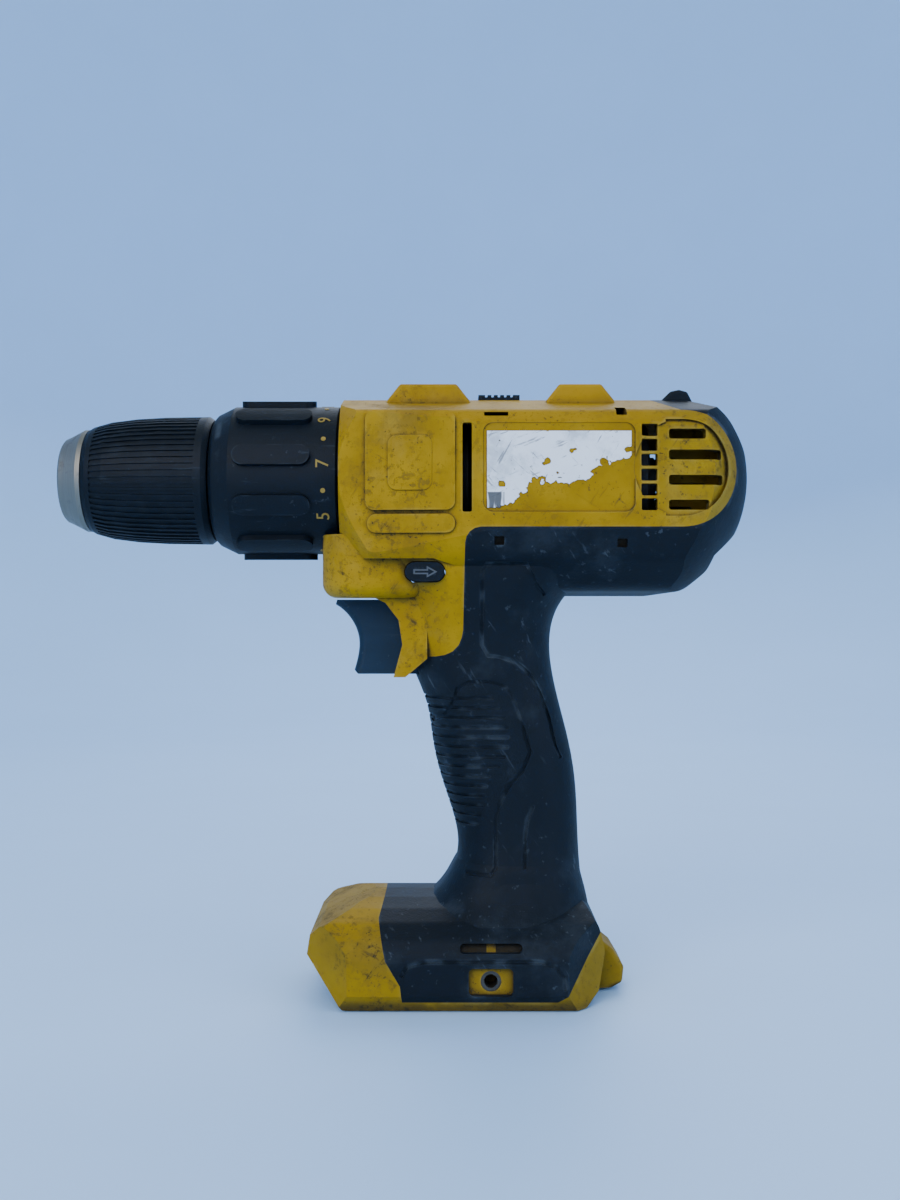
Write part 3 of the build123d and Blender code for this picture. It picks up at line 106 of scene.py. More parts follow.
class Graph:
    """One material's nodes, built from Python expressions."""

    def __init__(self, name):
        self.material = bpy.data.materials.new(name)
        self.material.use_nodes = True
        self.tree = self.material.node_tree
        self.shader = self.tree.nodes["Principled BSDF"]
        self.place = self.node("ShaderNodeTexCoord", {}, {}, "Object")

    def node(self, kind, settings, inputs, output=0):
        """Adds a node, sets its settings first and then its sockets, and gives one output."""
        made = self.tree.nodes.new(kind)
        for key, value in settings.items():
            setattr(made, key, value)
        for key, value in inputs.items():
            self.feed(made.inputs[key], value)
        return Wire(self, made.outputs[output])

    def feed(self, socket, value):
        """Links a wire to a socket, or sets the socket's own value."""
        if isinstance(value, Wire):
            self.tree.links.new(value.socket, socket)
        elif isinstance(value, (tuple, list)) and len(value) == 3 and socket.type == "RGBA":
            socket.default_value = (*value, 1.0)
        else:
            socket.default_value = value

    def math(self, operation, first, second, use_clamp=False):
        """One Math node on two numbers or wires."""
        settings = {"operation": operation, "use_clamp": use_clamp}
        return self.node("ShaderNodeMath", settings, {0: first, 1: second})

    def mapped(self, scale, turn=(0.0, 0.0, 0.0)):
        """Object coordinates turned, then multiplied by a scale on each axis."""
        inputs = {"Vector": self.place, "Scale": tuple(1.0 / s for s in scale), "Rotation": turn}
        return self.node("ShaderNodeMapping", {"vector_type": "TEXTURE"}, inputs)

    def along(self, axis):
        """The object coordinate along one axis, in metres."""
        return self.node("ShaderNodeSeparateXYZ", {}, {"Vector": self.place}, axis)

    def window(self, middle, half_length, half_height):
        """1 inside a rectangle seen from the side, and 0 outside it."""
        inside = 1.0
        soft = 0.0003
        for axis, centre, half in (("X", middle[0], half_length), ("Z", middle[1], half_height)):
            place = self.along(axis)
            rise = place.step(centre - half - soft, centre - half)
            inside = rise * place.step(centre + half + soft, centre + half) * inside
        return inside

    def noise(self, scale, detail=3.0, rough=0.5, where=None):
        """Cloudy noise between 0 and 1, with scale in features to the metre."""
        return self.node(
            "ShaderNodeTexNoise",
            {},
            {"Vector": where or self.place, "Scale": scale, "Detail": detail, "Roughness": rough},
        )

    def hollow(self, reach):
        """Near 0 deep in a corner and 1 in the open."""
        return self.node("ShaderNodeAmbientOcclusion", {"samples": 8}, {"Distance": reach}, "AO")

    def edge(self, reach):
        """Near 0 on a sharp outer edge and 1 on the flat."""
        settings = {"samples": 8, "inside": True}
        return self.node("ShaderNodeAmbientOcclusion", settings, {"Distance": reach}, "AO")

    def mix(self, share, first, second):
        """A colour between two others."""
        factor, colour_a, colour_b, result = 0, 6, 7, 2  # the Mix node's sockets for colours
        inputs = {factor: share, colour_a: first, colour_b: second}
        return self.node("ShaderNodeMix", {"data_type": "RGBA"}, inputs, result)

    def bump(self, height, depth):
        """A Bump node with a height in metres."""
        return self.node("ShaderNodeBump", {}, {"Height": height, "Distance": depth, "Strength": 1.0})

    def surface(self, **sockets):
        """Feeds the shader's sockets, named with underscores for spaces, and gives the material."""
        for key, value in sockets.items():
            self.feed(self.shader.inputs[key.replace("_", " ")], value)
        return self.material


def looks():
    """The sizes and colours that the panel shows."""
    return bpy.context.scene.drill_looks


def dress(material, *names):
    """Puts one material on CAD nodes."""
    for name in names:
        mesh = nodes[name].data
        mesh.materials.clear()
        mesh.materials.append(material)


# Openings in the skin, painted near-black as the shade inside them: middles as X and Z, and half sizes
foot_slot = (0.0072, 0.0188)
foot_slot_half_length = 0.0096
foot_slot_bridge = 0.0012
skin_openings = ((0.0097, 0.1397), (0.0463, 0.139))
skin_opening_half_length = 0.0018
opening_half_height = 0.0016


def worn_yellow():
    """Mustard housing plastic with brown grime and painted shade in the corners, smudges, dark scratches and
    small specks, and painted near-black shade in its openings.
    """
    g = Graph("worn_yellow_plastic")
    cloud = g.noise(38.0, 4.0, 0.6)
    base = g.mix(cloud.step(0.3, 0.75), tuple(looks().yellow), tuple(looks().yellow_dark))
    ends = (g.along("X").step(0.02, -0.02) + g.along("X").step(0.05, 0.066)).clip()
    bloom = g.noise(30.0, 6.0, 0.7).step(0.5, 0.72) * (0.2 + 0.8 * ends)
    base = g.mix(bloom * 0.2, base, (0.42, 0.29, 0.08))
    patch = g.noise(85.0, 6.0, 0.7)
    # painted shade: ambient occlusion darkens the corners toward the grime colour, in patches like grime
    grime = (1.0 - g.hollow(0.005)).step(0.08, 0.55) * patch.step(0.2, 0.52)
    smudge = g.noise(52.0, 8.0, 0.8).step(0.5, 0.6) * (0.35 + 0.65 * ends)
    cluster = g.noise(46.0, 5.0, 0.65).step(0.44, 0.58) * (0.45 + 0.55 * ends)
    flecks = g.noise(430.0, 8.0, 0.72).step(0.54, 0.59) * cluster
    specks = g.noise(980.0, 3.0, 0.6).step(0.63, 0.69) * g.noise(64.0).step(0.36, 0.56)
    marks = 0.0
    for turn, long_side, mask in ((0.6, 70.0, 57.0), (-1.05, 95.0, 44.0)):
        lines = g.noise(1.0, 5.0, 0.6, g.mapped((620.0, 300.0, long_side), (0.0, turn, 0.0)))
        marks = lines.step(0.62, 0.68) * g.noise(mask, 4.0).step(0.48, 0.6) + marks
    dirt_and_shade = (grime * 0.8 + smudge * 0.22 + flecks * 0.45 + marks * 0.4 + specks * 0.75).clip()
    handled = (g.along("X").step(0.05, 0.066) + g.along("Z").step(0.05, 0.03)).clip()
    base = g.mix(handled * (0.1 + 0.5 * cloud), base, (0.17, 0.115, 0.006))
    # real dirt and the painted corner shade, mixed in as one brown colour
    colour = g.mix(dirt_and_shade, base, tuple(looks().grime))
    worn = (1.0 - g.edge(0.0016)).step(0.2, 0.6) * g.noise(120.0).step(0.4, 0.62)
    colour = g.mix(worn * 0.3, colour, (0.44, 0.3, 0.06))
    # painted shade: the foot slot, except a bridge in its middle, and the skin openings turn near-black
    bridge = g.window(foot_slot, foot_slot_bridge, opening_half_height)
    shade = g.window(foot_slot, foot_slot_half_length, opening_half_height) * (1.0 - bridge)
    for mark in skin_openings:
        shade = (shade + g.window(mark, skin_opening_half_length, opening_half_height)).clip()
    colour = g.mix(shade * 0.92, colour, (0.006, 0.006, 0.006))
    rough = 0.5 + 0.16 * cloud + 0.25 * dirt_and_shade
    grain = g.noise(2600.0, 2.0) * 0.3 + g.noise(240.0, 4.0) * 0.5 + flecks * 0.2
    return g.surface(
        Base_Color=colour, Roughness=rough.clip(), Normal=g.bump(grain, 0.00016), Specular_IOR_Level=0.13
    )


def scuffed_rubber():
    """Blue-black soft skin, paler where rubbed, with dust in its grooves and grey scratches."""
    g = Graph("scuffed_rubber")
    cloud = g.noise(45.0, 5.0, 0.6)
    base = g.mix(cloud, tuple(looks().rubber), tuple(looks().rubber_pale))
    dust = (1.0 - g.hollow(0.002)).step(0.3, 0.9) * g.noise(95.0, 4.0, 0.6).step(0.42, 0.66)
    edges = (1.0 - g.edge(0.0014)).step(0.2, 0.65) * g.noise(140.0, 4.0).step(0.46, 0.68)
    lines = g.noise(1.0, 4.0, 0.6, g.mapped((520.0, 400.0, 45.0), (0.0, -0.6, 0.0)))
    scratches = lines.step(0.61, 0.7) * g.noise(48.0).step(0.45, 0.6)
    spots = g.noise(480.0, 3.0, 0.6).step(0.64, 0.75)
    smears = g.noise(24.0, 6.0, 0.7).step(0.5, 0.68)
    wear = (dust * 0.5 + edges * 0.6 + scratches * 0.6 + spots * 0.5 + smears * 0.2).clip()
    colour = g.mix(wear, base, tuple(looks().dust))
    rough = 0.48 + 0.18 * cloud + 0.18 * wear
    grain = g.noise(1900.0, 2.0) * 0.5 + g.noise(420.0, 4.0) * 0.5
    return g.surface(
        Base_Color=colour, Roughness=rough.clip(), Normal=g.bump(grain, 0.00016), Specular_IOR_Level=0.16
    )


def black_plastic(name, shine, dust_share, edge_share=0.45, lift=1.0):
    """Hard black plastic with fine scratches and pale rubbed edges; lift makes its colour paler."""
    g = Graph(name)
    cloud = g.noise(1.0, 5.0, 0.6, g.mapped((70.0, 260.0, 260.0)))
    dark, pale = (tuple(lift * c for c in tone) for tone in (looks().rubber, looks().rubber_pale))
    base = g.mix(cloud * 0.5, dark, pale)
    edges = (1.0 - g.edge(0.0012)).step(0.25, 0.65) * g.noise(170.0, 4.0).step(0.44, 0.66)
    dust = (1.0 - g.hollow(0.0016)).step(0.3, 0.9) * g.noise(260.0, 4.0).step(0.46, 0.66)
    nicks = g.noise(1.0, 4.0, 0.6, g.mapped((70.0, 520.0, 560.0))).step(0.62, 0.73)
    spots = g.noise(520.0, 3.0, 0.6).step(0.65, 0.76)
    wear = (edges * edge_share + dust * dust_share + nicks * 0.3 + spots * 0.4).clip()
    colour = g.mix(wear, base, tuple(looks().dust))
    rough = shine + 0.16 * cloud + 0.2 * wear
    grain = g.noise(1500.0, 3.0)
    return g.surface(
        Base_Color=colour, Roughness=rough.clip(), Normal=g.bump(grain, 0.00008), Specular_IOR_Level=0.16
    )


def turned_steel(name, colour, rough_base):
    """Bright steel with fine turning lines round the spindle and a few dents."""
    g = Graph(name)
    lines = g.noise(1.0, 3.0, 0.6, g.mapped((2400.0, 60.0, 60.0)))
    cloud = g.noise(90.0, 4.0, 0.6)
    stains = g.noise(160.0, 5.0, 0.65).step(0.56, 0.72)
    tone = g.mix((lines * 0.5 + cloud * 0.5).clip(), colour, tuple(c * 0.62 for c in colour))
    tone = g.mix(stains * 0.55, tone, (0.12, 0.10, 0.085))
    rough = rough_base + 0.22 * lines + 0.2 * stains
    height = lines * 0.6 + cloud * 0.4
    return g.surface(Base_Color=tone, Metallic=1.0, Roughness=rough.clip(), Normal=g.bump(height, 0.00006))


def plain_finish(name, colour, metal, rough_base):
    """A small inner piece's finish: one colour with a little cloud in colour and polish."""
    g = Graph(name)
    cloud = g.noise(300.0, 4.0, 0.6)
    tone = g.mix(cloud, colour, tuple(c * 0.6 for c in colour))
    rough = rough_base + 0.2 * cloud
    return g.surface(Base_Color=tone, Metallic=metal, Roughness=rough.clip(), Normal=g.bump(cloud, 0.00005))


def worn_sticker(corner_x, corner_z):
    """White paper with grey smears, specks and scratches, and a barred patch at its lower front corner."""
    g = Graph("worn_sticker")
    cloud = g.noise(120.0, 5.0, 0.65)
    grey = g.noise(60.0, 5.0, 0.7).step(0.5, 0.68)
    tone = g.mix(cloud, (0.95, 0.94, 0.92), (0.76, 0.76, 0.76))
    tone = g.mix(grey * 0.5, tone, (0.34, 0.35, 0.36))
    specks = g.noise(700.0, 3.0, 0.6).step(0.66, 0.74)
    tone = g.mix(specks * 0.7, tone, (0.09, 0.07, 0.05))
    for turn, mask in ((0.5, 90.0), (-0.8, 70.0), (1.2, 110.0)):
        lines = g.noise(1.0, 4.0, 0.6, g.mapped((900.0, 300.0, 110.0), (0.0, turn, 0.0)))
        scratch = lines.step(0.6, 0.66) * g.noise(mask, 4.0).step(0.46, 0.58)
        tone = g.mix(scratch * 0.7, tone, (0.13, 0.13, 0.14))
    corner = g.window((corner_x, corner_z), 0.005, 0.0045)
    bars = g.noise(1.0, 2.0, 0.5, g.mapped((520.0, 100.0, 60.0))).step(0.42, 0.5)
    tone = g.mix(corner * bars * 0.9, tone, (0.012, 0.013, 0.015))
    rough = 0.45 + 0.25 * cloud
    return g.surface(Base_Color=tone, Roughness=rough.clip(), Normal=g.bump(cloud, 0.0002))


# Small pieces


def new_piece(name, vertices, faces, body, material):
    """A mesh piece with its place in its vertices, riding on a CAD body where one is given."""
    mesh = bpy.data.meshes.new(name)
    mesh.from_pydata(vertices.tolist(), [], [list(f) for f in faces])
    mesh.validate()
    mesh.update()
    piece = bpy.data.objects.new(name, mesh)
    bpy.context.scene.collection.objects.link(piece)
    mesh.materials.append(material)
    if body:
        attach(piece, body)
    return piece


def text_mesh(body, size):
    """Points and faces of a flat word centred on its middle, one metre thick along Z before it is wrapped."""
    curve = bpy.data.curves.new("dial_text", "FONT")
    curve.body = body
    curve.size = size
    curve.align_x = "CENTER"
    curve.align_y = "CENTER"
    curve.resolution_u = 3
    curve.extrude = 0.5
    holder = bpy.data.objects.new("dial_text", curve)
    bpy.context.scene.collection.objects.link(holder)
    bpy.context.view_layer.update()
    mesh = bpy.data.meshes.new_from_object(holder.evaluated_get(bpy.context.evaluated_depsgraph_get()))
    points = np.zeros(len(mesh.vertices) * 3)
    mesh.vertices.foreach_get("co", points)
    faces = [tuple(p.vertices) for p in mesh.polygons]
    bpy.data.objects.remove(holder)
    bpy.data.curves.remove(curve)
    bpy.data.meshes.remove(mesh)
    return points.reshape(-1, 3), faces


def wrap_on_collar(points, turn, middle_x, radius, height):
    """Lays flat points on a cylinder: their x goes round it, their y forwards, their z outwards.

    A fifth of the height is sunk in the cylinder.
    """
    angle = turn + points[:, 0] / radius
    out = radius + (points[:, 2] + 0.5) * height - 0.2 * height
    return np.stack(
        [middle_x - points[:, 1], -out * np.cos(angle), spindle_height + out * np.sin(angle)], axis=1
    )


def value_noise(x, z, cell, seed):
    """Smooth noise between 0 and 1: random heights on a square lattice, eased between its points."""
    side = 64
    heights = np.random.default_rng(seed).random((side, side))
    u, v = x / cell, z / cell
    i, j = np.floor(u).astype(int), np.floor(v).astype(int)
    a, b = u - i, v - j
    a, b = a * a * (3 - 2 * a), b * b * (3 - 2 * b)
    left, right, under, over = i % side, (i + 1) % side, j % side, (j + 1) % side
    low = heights[left, under] * (1 - a) + heights[right, under] * a
    high = heights[left, over] * (1 - a) + heights[right, over] * a
    return low * (1 - b) + high * b


def torn_sheet(low, high, side_y, tear, seed):
    """A flat sheet seen from the side, kept where its height is above a ragged tear line.

    tear gives the line's height as a share of the sheet for a share of its length; noise at three
    sizes makes it ragged, and opens small holes near it.
    """
    across, up = 260, 140
    x = np.linspace(low[0], high[0], across + 1)
    z = np.linspace(low[1], high[1], up + 1)
    mid_x, mid_z = np.meshgrid((x[1:] + x[:-1]) / 2, (z[1:] + z[:-1]) / 2, indexing="ij")
    share_x = (mid_x - low[0]) / (high[0] - low[0])
    share_z = (mid_z - low[1]) / (high[1] - low[1])
    ragged = sum(
        weight * (value_noise(mid_x, mid_z, cell, seed + index) - 0.5)
        for index, (cell, weight) in enumerate(((0.005, 0.16), (0.0022, 0.12), (0.0008, 0.07)))
    )
    above = share_z - tear(share_x) + ragged
    holes = value_noise(mid_x, mid_z, 0.0034, seed + 7) + 0.35 * value_noise(mid_x, mid_z, 0.0012, seed + 8)
    band, hole_limit = 0.16, 1.09
    near = np.exp(-((above - band) / band) ** 2)
    keep = (above > 0) & (holes + 0.16 * near < hole_limit)
    index = np.arange((across + 1) * (up + 1)).reshape(across + 1, up + 1)
    corners = np.stack([index[:-1, :-1], index[1:, :-1], index[1:, 1:], index[:-1, 1:]], axis=2)
    faces = corners[keep]
    grid_x, grid_z = np.meshgrid(x, z, indexing="ij")
    points = np.stack([grid_x, np.full_like(grid_x, side_y), grid_z], axis=2).reshape(-1, 3)
    used, faces = np.unique(faces, return_inverse=True)
    return points[used], faces.reshape(-1, 4)


def outline_ribbon(corners, width):
    """A flat band just inside a closed outline: each corner moves in along its bisector."""
    before = corners - np.roll(corners, 1, axis=0)
    after = np.roll(corners, -1, axis=0) - corners
    normals = []
    for run in (before, after):
        length = np.linalg.norm(run, axis=1, keepdims=True)
        normals.append(np.stack([-run[:, 1], run[:, 0]], axis=1) / length)
    bisector = normals[0] + normals[1]
    bisector /= (bisector * normals[0]).sum(axis=1, keepdims=True)
    inner = corners + width * bisector
    count = len(corners)
    start = np.arange(count)
    following = (start + 1) % count
    quads = np.stack([start, following, following + count, start + count], axis=1)
    return np.concatenate([corners, inner]), quads


def helix_tube(first, last, middle_z, radius, wire, turns):
    """A spring along X: a circle of wire carried along a helix, closed by a fan at each end.

    The line goes round the axis at the radius as it moves along X at an even rate, and each circle stands
    square to it.
    """
    steps, sides = int(turns * 40), 10
    along = np.linspace(0.0, 1.0, steps + 1)
    angle = 2 * np.pi * turns * along
    level = np.zeros_like(angle)
    out = np.stack([level, np.cos(angle), np.sin(angle)], axis=1)
    round_run = 2 * np.pi * turns * radius
    run = np.stack([level + last - first, -round_run * np.sin(angle), round_run * np.cos(angle)], axis=1)
    run /= np.linalg.norm(run, axis=1, keepdims=True)
    side = np.cross(run, out)
    line = np.stack([first + (last - first) * along, level, level + middle_z], axis=1) + radius * out
    turn = np.linspace(0.0, 2 * np.pi, sides, endpoint=False)[None, :, None]
    rings = line[:, None] + wire * (np.cos(turn) * out[:, None] + np.sin(turn) * side[:, None])
    points = np.concatenate([rings.reshape(-1, 3), line[[0, -1]]])
    step, place = np.meshgrid(np.arange(steps), np.arange(sides), indexing="ij")
    a = step * sides + place
    b = step * sides + (place + 1) % sides
    quads = np.stack([a, b, b + sides, a + sides], axis=2).reshape(-1, 4)
    edge = np.arange(sides)
    following = (edge + 1) % sides
    centre = np.full(sides, len(points) - 2)
    start_fan = np.stack([centre, following, edge], axis=1)
    end_fan = np.stack([centre + 1, edge + steps * sides, following + steps * sides], axis=1)
    return points, quads.tolist() + start_fan.tolist() + end_fan.tolist()


def rear_wall_line(heights):
    """Inner line of the grip's rear wall in the parting plane, as X at the given heights.

    Of the left half's points on its parting face, those with another one a wall's thickness behind them
    lie on the inner line, and a fifth-degree curve in Z is fitted to them.
    """
    grip_middle, spare, same_height, thin_wall, thick_wall = 0.018, 0.004, 0.003, 0.0014, 0.0032
    mesh = nodes["left_housing"].data
    flat = np.empty(3 * len(mesh.vertices))
    mesh.vertices.foreach_get("co", flat)
    x, y, z = flat.reshape(-1, 3).T
    kept = (y > y.max() - 1e-6) & (x > grip_middle)
    kept &= (z > heights[0] - spare) & (z < heights[-1] + spare)
    x, z = x[kept], z[kept]
    behind = x[None, :] - x[:, None]
    level = np.abs(z[None, :] - z[:, None]) < same_height
    inner = (level & (behind > thin_wall) & (behind < thick_wall)).any(axis=1)
    middle = heights.mean()
    return np.polyval(np.polyfit(z[inner] - middle, x[inner], 5), heights - middle)


def wall_strip(back, heights, depth, half_width):
    """A strip up a wall: a rectangle in X and Y carried up a line in the middle plane, closed at its ends."""
    corners = np.array([(-depth, -half_width), (0.0, -half_width), (0.0, half_width), (-depth, half_width)])
    points = np.empty((len(heights), 4, 3))
    points[:, :, 0] = back[:, None] + corners[:, 0]
    points[:, :, 1] = corners[:, 1]
    points[:, :, 2] = heights[:, None]
    row, corner = np.meshgrid(np.arange(len(heights) - 1), np.arange(4), indexing="ij")
    a = row * 4 + corner
    b = row * 4 + (corner + 1) % 4
    sides = np.stack([a, b, b + 4, a + 4], axis=2).reshape(-1, 4)
    last = 4 * len(heights) - 4
    return points.reshape(-1, 3), sides.tolist() + [[3, 2, 1, 0], [last, last + 1, last + 2, last + 3]]


def floor_bowl(flat_radius, bend_radius, wall_top, drop):
    """A round floor just under the drill whose rim bends up into a wall.

    A profile of a flat run, a quarter circle and an upright is turned round Z, and a fan closes its middle.
    """
    flat = np.linspace(0.0, flat_radius, 13)[1:]
    bend = np.linspace(-np.pi / 2, 0.0, 25)[1:]
    reach = np.concatenate([flat, flat_radius + bend_radius * np.cos(bend), [flat_radius + bend_radius]])
    rise = np.concatenate([np.zeros(len(flat)), bend_radius + bend_radius * np.sin(bend), [wall_top]]) - drop
    turns = np.linspace(0.0, 2 * np.pi, 97)[:-1]
    grid_r, grid_t = np.meshgrid(reach, turns, indexing="ij")
    grid_z = np.repeat(rise[:, None], len(turns), axis=1)
    spots = np.stack([grid_r * np.cos(grid_t), grid_r * np.sin(grid_t), grid_z], axis=2)
    vertices = np.concatenate([spots.reshape(-1, 3), [[0.0, 0.0, -drop]]])
    count = len(turns)
    ring, turn = np.meshgrid(np.arange(len(reach) - 1), np.arange(count), indexing="ij")
    a = ring * count + turn
    b = ring * count + (turn + 1) % count
    quads = np.stack([a, a + count, b + count, b], axis=2).reshape(-1, 4)
    centre = np.full(count, len(vertices) - 1)
    fan = np.stack([centre, np.arange(count), (np.arange(count) + 1) % count], axis=1)
    mesh = bpy.data.meshes.new("floor")
    mesh.from_pydata(vertices.tolist(), [], quads.tolist() + fan.tolist())
    mesh.polygons.foreach_set("use_smooth", np.ones(len(mesh.polygons), dtype=bool))
    return bpy.data.objects.new("floor", mesh)


# What a user would change


class DrillLooks(bpy.types.PropertyGroup):
    """Sizes and colours of the drill's finishes."""

    yellow: bpy.props.FloatVectorProperty(
        name="Yellow", description="Clean housing plastic", subtype="COLOR", default=(0.40, 0.215, 0.0)
    )
    yellow_dark: bpy.props.FloatVectorProperty(
        name="Handled yellow", description="Housing plastic darkened by use", subtype="COLOR",
        default=(0.27, 0.14, 0.0),
    )
    # one colour for the housing's dirt and for the painted shade in its corners
    grime: bpy.props.FloatVectorProperty(
        name="Grime", description="Dirt in the housing's corners", subtype="COLOR",
        default=(0.045, 0.03, 0.012),
    )
    rubber: bpy.props.FloatVectorProperty(
        name="Rubber", description="Soft skin", subtype="COLOR", default=(0.0012, 0.0032, 0.0058)
    )
    rubber_pale: bpy.props.FloatVectorProperty(
        name="Rubbed rubber", description="Soft skin where it is rubbed", subtype="COLOR",
        default=(0.0034, 0.007, 0.0115),
    )
    dust: bpy.props.FloatVectorProperty(
        name="Dust", description="Dust and scratches on black pieces", subtype="COLOR",
        default=(0.06, 0.075, 0.09),
    )
    dial_height: bpy.props.FloatProperty(
        name="Number height", description="Height of the dial's numbers", unit="LENGTH", default=0.0057
    )
    dial_step: bpy.props.FloatProperty(
        name="Number step", description="Turn between marks on the dial", subtype="ANGLE",
        default=math.radians(20),
    )
    dial_first: bpy.props.FloatProperty(
        name="First number", description="Turn of the mark 1 above the left side", subtype="ANGLE",
        default=math.radians(-112),
    )
    paper: bpy.props.FloatProperty(
        name="Sticker", description="Thickness of the side stickers", unit="LENGTH", default=0.00018
    )
    clutch_wire: bpy.props.FloatProperty(
        name="Clutch wire", description="Radius of the clutch spring's wire", unit="LENGTH", default=0.0011
    )
    trigger_wire: bpy.props.FloatProperty(
        name="Trigger wire", description="Radius of the trigger spring's wire", unit="LENGTH",
        default=0.0005,
    )
    tongue_width: bpy.props.FloatProperty(
        name="Tongue width", description="Width of the tongue in the grip's seam", unit="LENGTH",
        default=0.0016,
    )
    tongue_depth: bpy.props.FloatProperty(
        name="Tongue depth", description="Depth of the tongue in the grip's seam", unit="LENGTH",
        default=0.0011,
    )
    ground: bpy.props.FloatVectorProperty(
        name="Floor", description="Pale floor", subtype="COLOR", default=(0.52, 0.74, 1.0)
    )


# One operator for each group of pieces


class DRILL_OT_housing(bpy.types.Operator):
    """Finish the yellow housing halves"""

    bl_idname = "drill.housing"
    bl_label = "Housing"

    def execute(self, context):
        dress(worn_yellow(), "left_housing", "right_housing")
        return {"FINISHED"}


class DRILL_OT_skin(bpy.types.Operator):
    """Finish the soft rubber skin"""

    bl_idname = "drill.skin"
    bl_label = "Soft skin"

    def execute(self, context):
        dress(scuffed_rubber(), "left_overmould", "right_overmould")
        return {"FINISHED"}


class DRILL_OT_chuck(bpy.types.Operator):
    """Finish the chuck and its jaws"""

    bl_idname = "drill.chuck"
    bl_label = "Chuck"

    def execute(self, context):
        dress(black_plastic("sleeve_plastic", 0.42, 0.04, 0.08), "chuck_sleeve")
        dress(turned_steel("nose_steel", (0.27, 0.245, 0.2), 0.4), "chuck_nose")
        dress(turned_steel("jaw_steel", (0.3, 0.3, 0.3), 0.34), "jaw_1", "jaw_2", "jaw_3", "chuck_body")
        dress(turned_steel("nut_steel", (0.42, 0.42, 0.43), 0.36), "chuck_nut", "chuck_screw")
        return {"FINISHED"}


class DRILL_OT_collar(bpy.types.Operator):
    """Finish the torque collar and raise its numbers and dots"""

    bl_idname = "drill.collar"
    bl_label = "Torque collar"

    def execute(self, context):
        dress(black_plastic("collar_plastic", 0.44, 0.2), "clutch_collar")
        ink = plain_finish("dial_yellow", (0.34, 0.21, 0.015), 0.0, 0.5)
        radius = 0.0234
        ink_height = 0.0002
        dot_size = 2.2 * looks().dial_height
        middle_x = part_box("clutch_collar")[1].x - 0.0042
        points, faces = [], []
        for mark in range(1, 16):
            if mark % 2:
                flat, shape = text_mesh(str(mark), looks().dial_height)
            else:
                flat, shape = text_mesh(".", dot_size)
                flat[:, :2] -= (flat[:, :2].max(axis=0) + flat[:, :2].min(axis=0)) / 2
            turn = looks().dial_first + (mark - 1) * looks().dial_step
            start = sum(len(p) for p in points)
            points.append(wrap_on_collar(flat, turn, middle_x, radius, ink_height))
            faces += [tuple(v + start for v in f) for f in shape]
        new_piece("dial_marks", np.concatenate(points), faces, "clutch_collar", ink)
        return {"FINISHED"}


class DRILL_OT_label(bpy.types.Operator):
    """Lay the worn, torn stickers in the side panels"""

    bl_idname = "drill.label"
    bl_label = "Side labels"

    def execute(self, context):
        low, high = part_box("side_labels")
        tear_along = (0.0, 0.18, 0.26, 0.4, 0.7, 0.78, 0.88, 1.0)
        tear_up = (-0.06, 0.0, 0.2, 0.33, 0.31, 0.6, 0.56, 0.66)
        sticker = worn_sticker(low.x, low.z)
        for name, side_y, seed, tear in (
            ("label_left", low.y, 11, lambda share: np.interp(share, tear_along, tear_up)),
            ("label_right", high.y, 29, lambda share: np.interp(1 - share, tear_along, tear_up) - 0.12),
        ):
            points, faces = torn_sheet((low.x, low.z), (high.x, high.z), side_y, tear, seed)
            if side_y > 0:
                faces = faces[:, ::-1]
            piece = new_piece(name, points, faces.tolist(), "housing", sticker)
            skin = piece.modifiers.new("paper", "SOLIDIFY")
            skin.thickness = looks().paper
            skin.offset = -1.0
            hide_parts("side_labels")
        return {"FINISHED"}


class DRILL_OT_controls(bpy.types.Operator):
    """Finish the trigger, buttons and lamp"""

    bl_idname = "drill.controls"
    bl_label = "Controls"

    def execute(self, context):
        dress(black_plastic("control_plastic", 0.4, 0.2), "direction_button", "speed_selector")
        dress(black_plastic("trigger_plastic", 0.34, 0.2, lift=5.0), "trigger")
        dress(plain_finish("lamp_lens", (0.8, 0.82, 0.84), 0.0, 0.12), "led_lens")
        low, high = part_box("direction_button")
        middle = (low + high) / 2
        tail, neck, tip, shaft, barb = -0.0034, 0.0006, 0.0038, 0.00075, 0.00175
        lower = [(tail, -shaft), (neck, -shaft), (neck, -barb)]
        shape = np.array([*lower, (tip, 0.0), *((x, -z) for x, z in reversed(lower))])
        line_width, proud, ink_height = 0.00045, 0.00008, 0.0002
        ink = plain_finish("arrow_grey", (0.07, 0.075, 0.08), 0.0, 0.5)
        flat, quads = outline_ribbon(shape, line_width)
        for name, side_y in (("arrow_left", low.y), ("arrow_right", high.y)):
            face_y = np.full(len(flat), side_y + math.copysign(proud, side_y))
            points = np.stack([middle.x + flat[:, 0], face_y, middle.z + flat[:, 1]], axis=1)
            order = quads if side_y < 0 else quads[:, ::-1]
            arrow = new_piece(name, points, order.tolist(), "direction_button", ink)
            raised = arrow.modifiers.new("ink", "SOLIDIFY")
            raised.thickness = ink_height
            raised.offset = -1.0
        return {"FINISHED"}


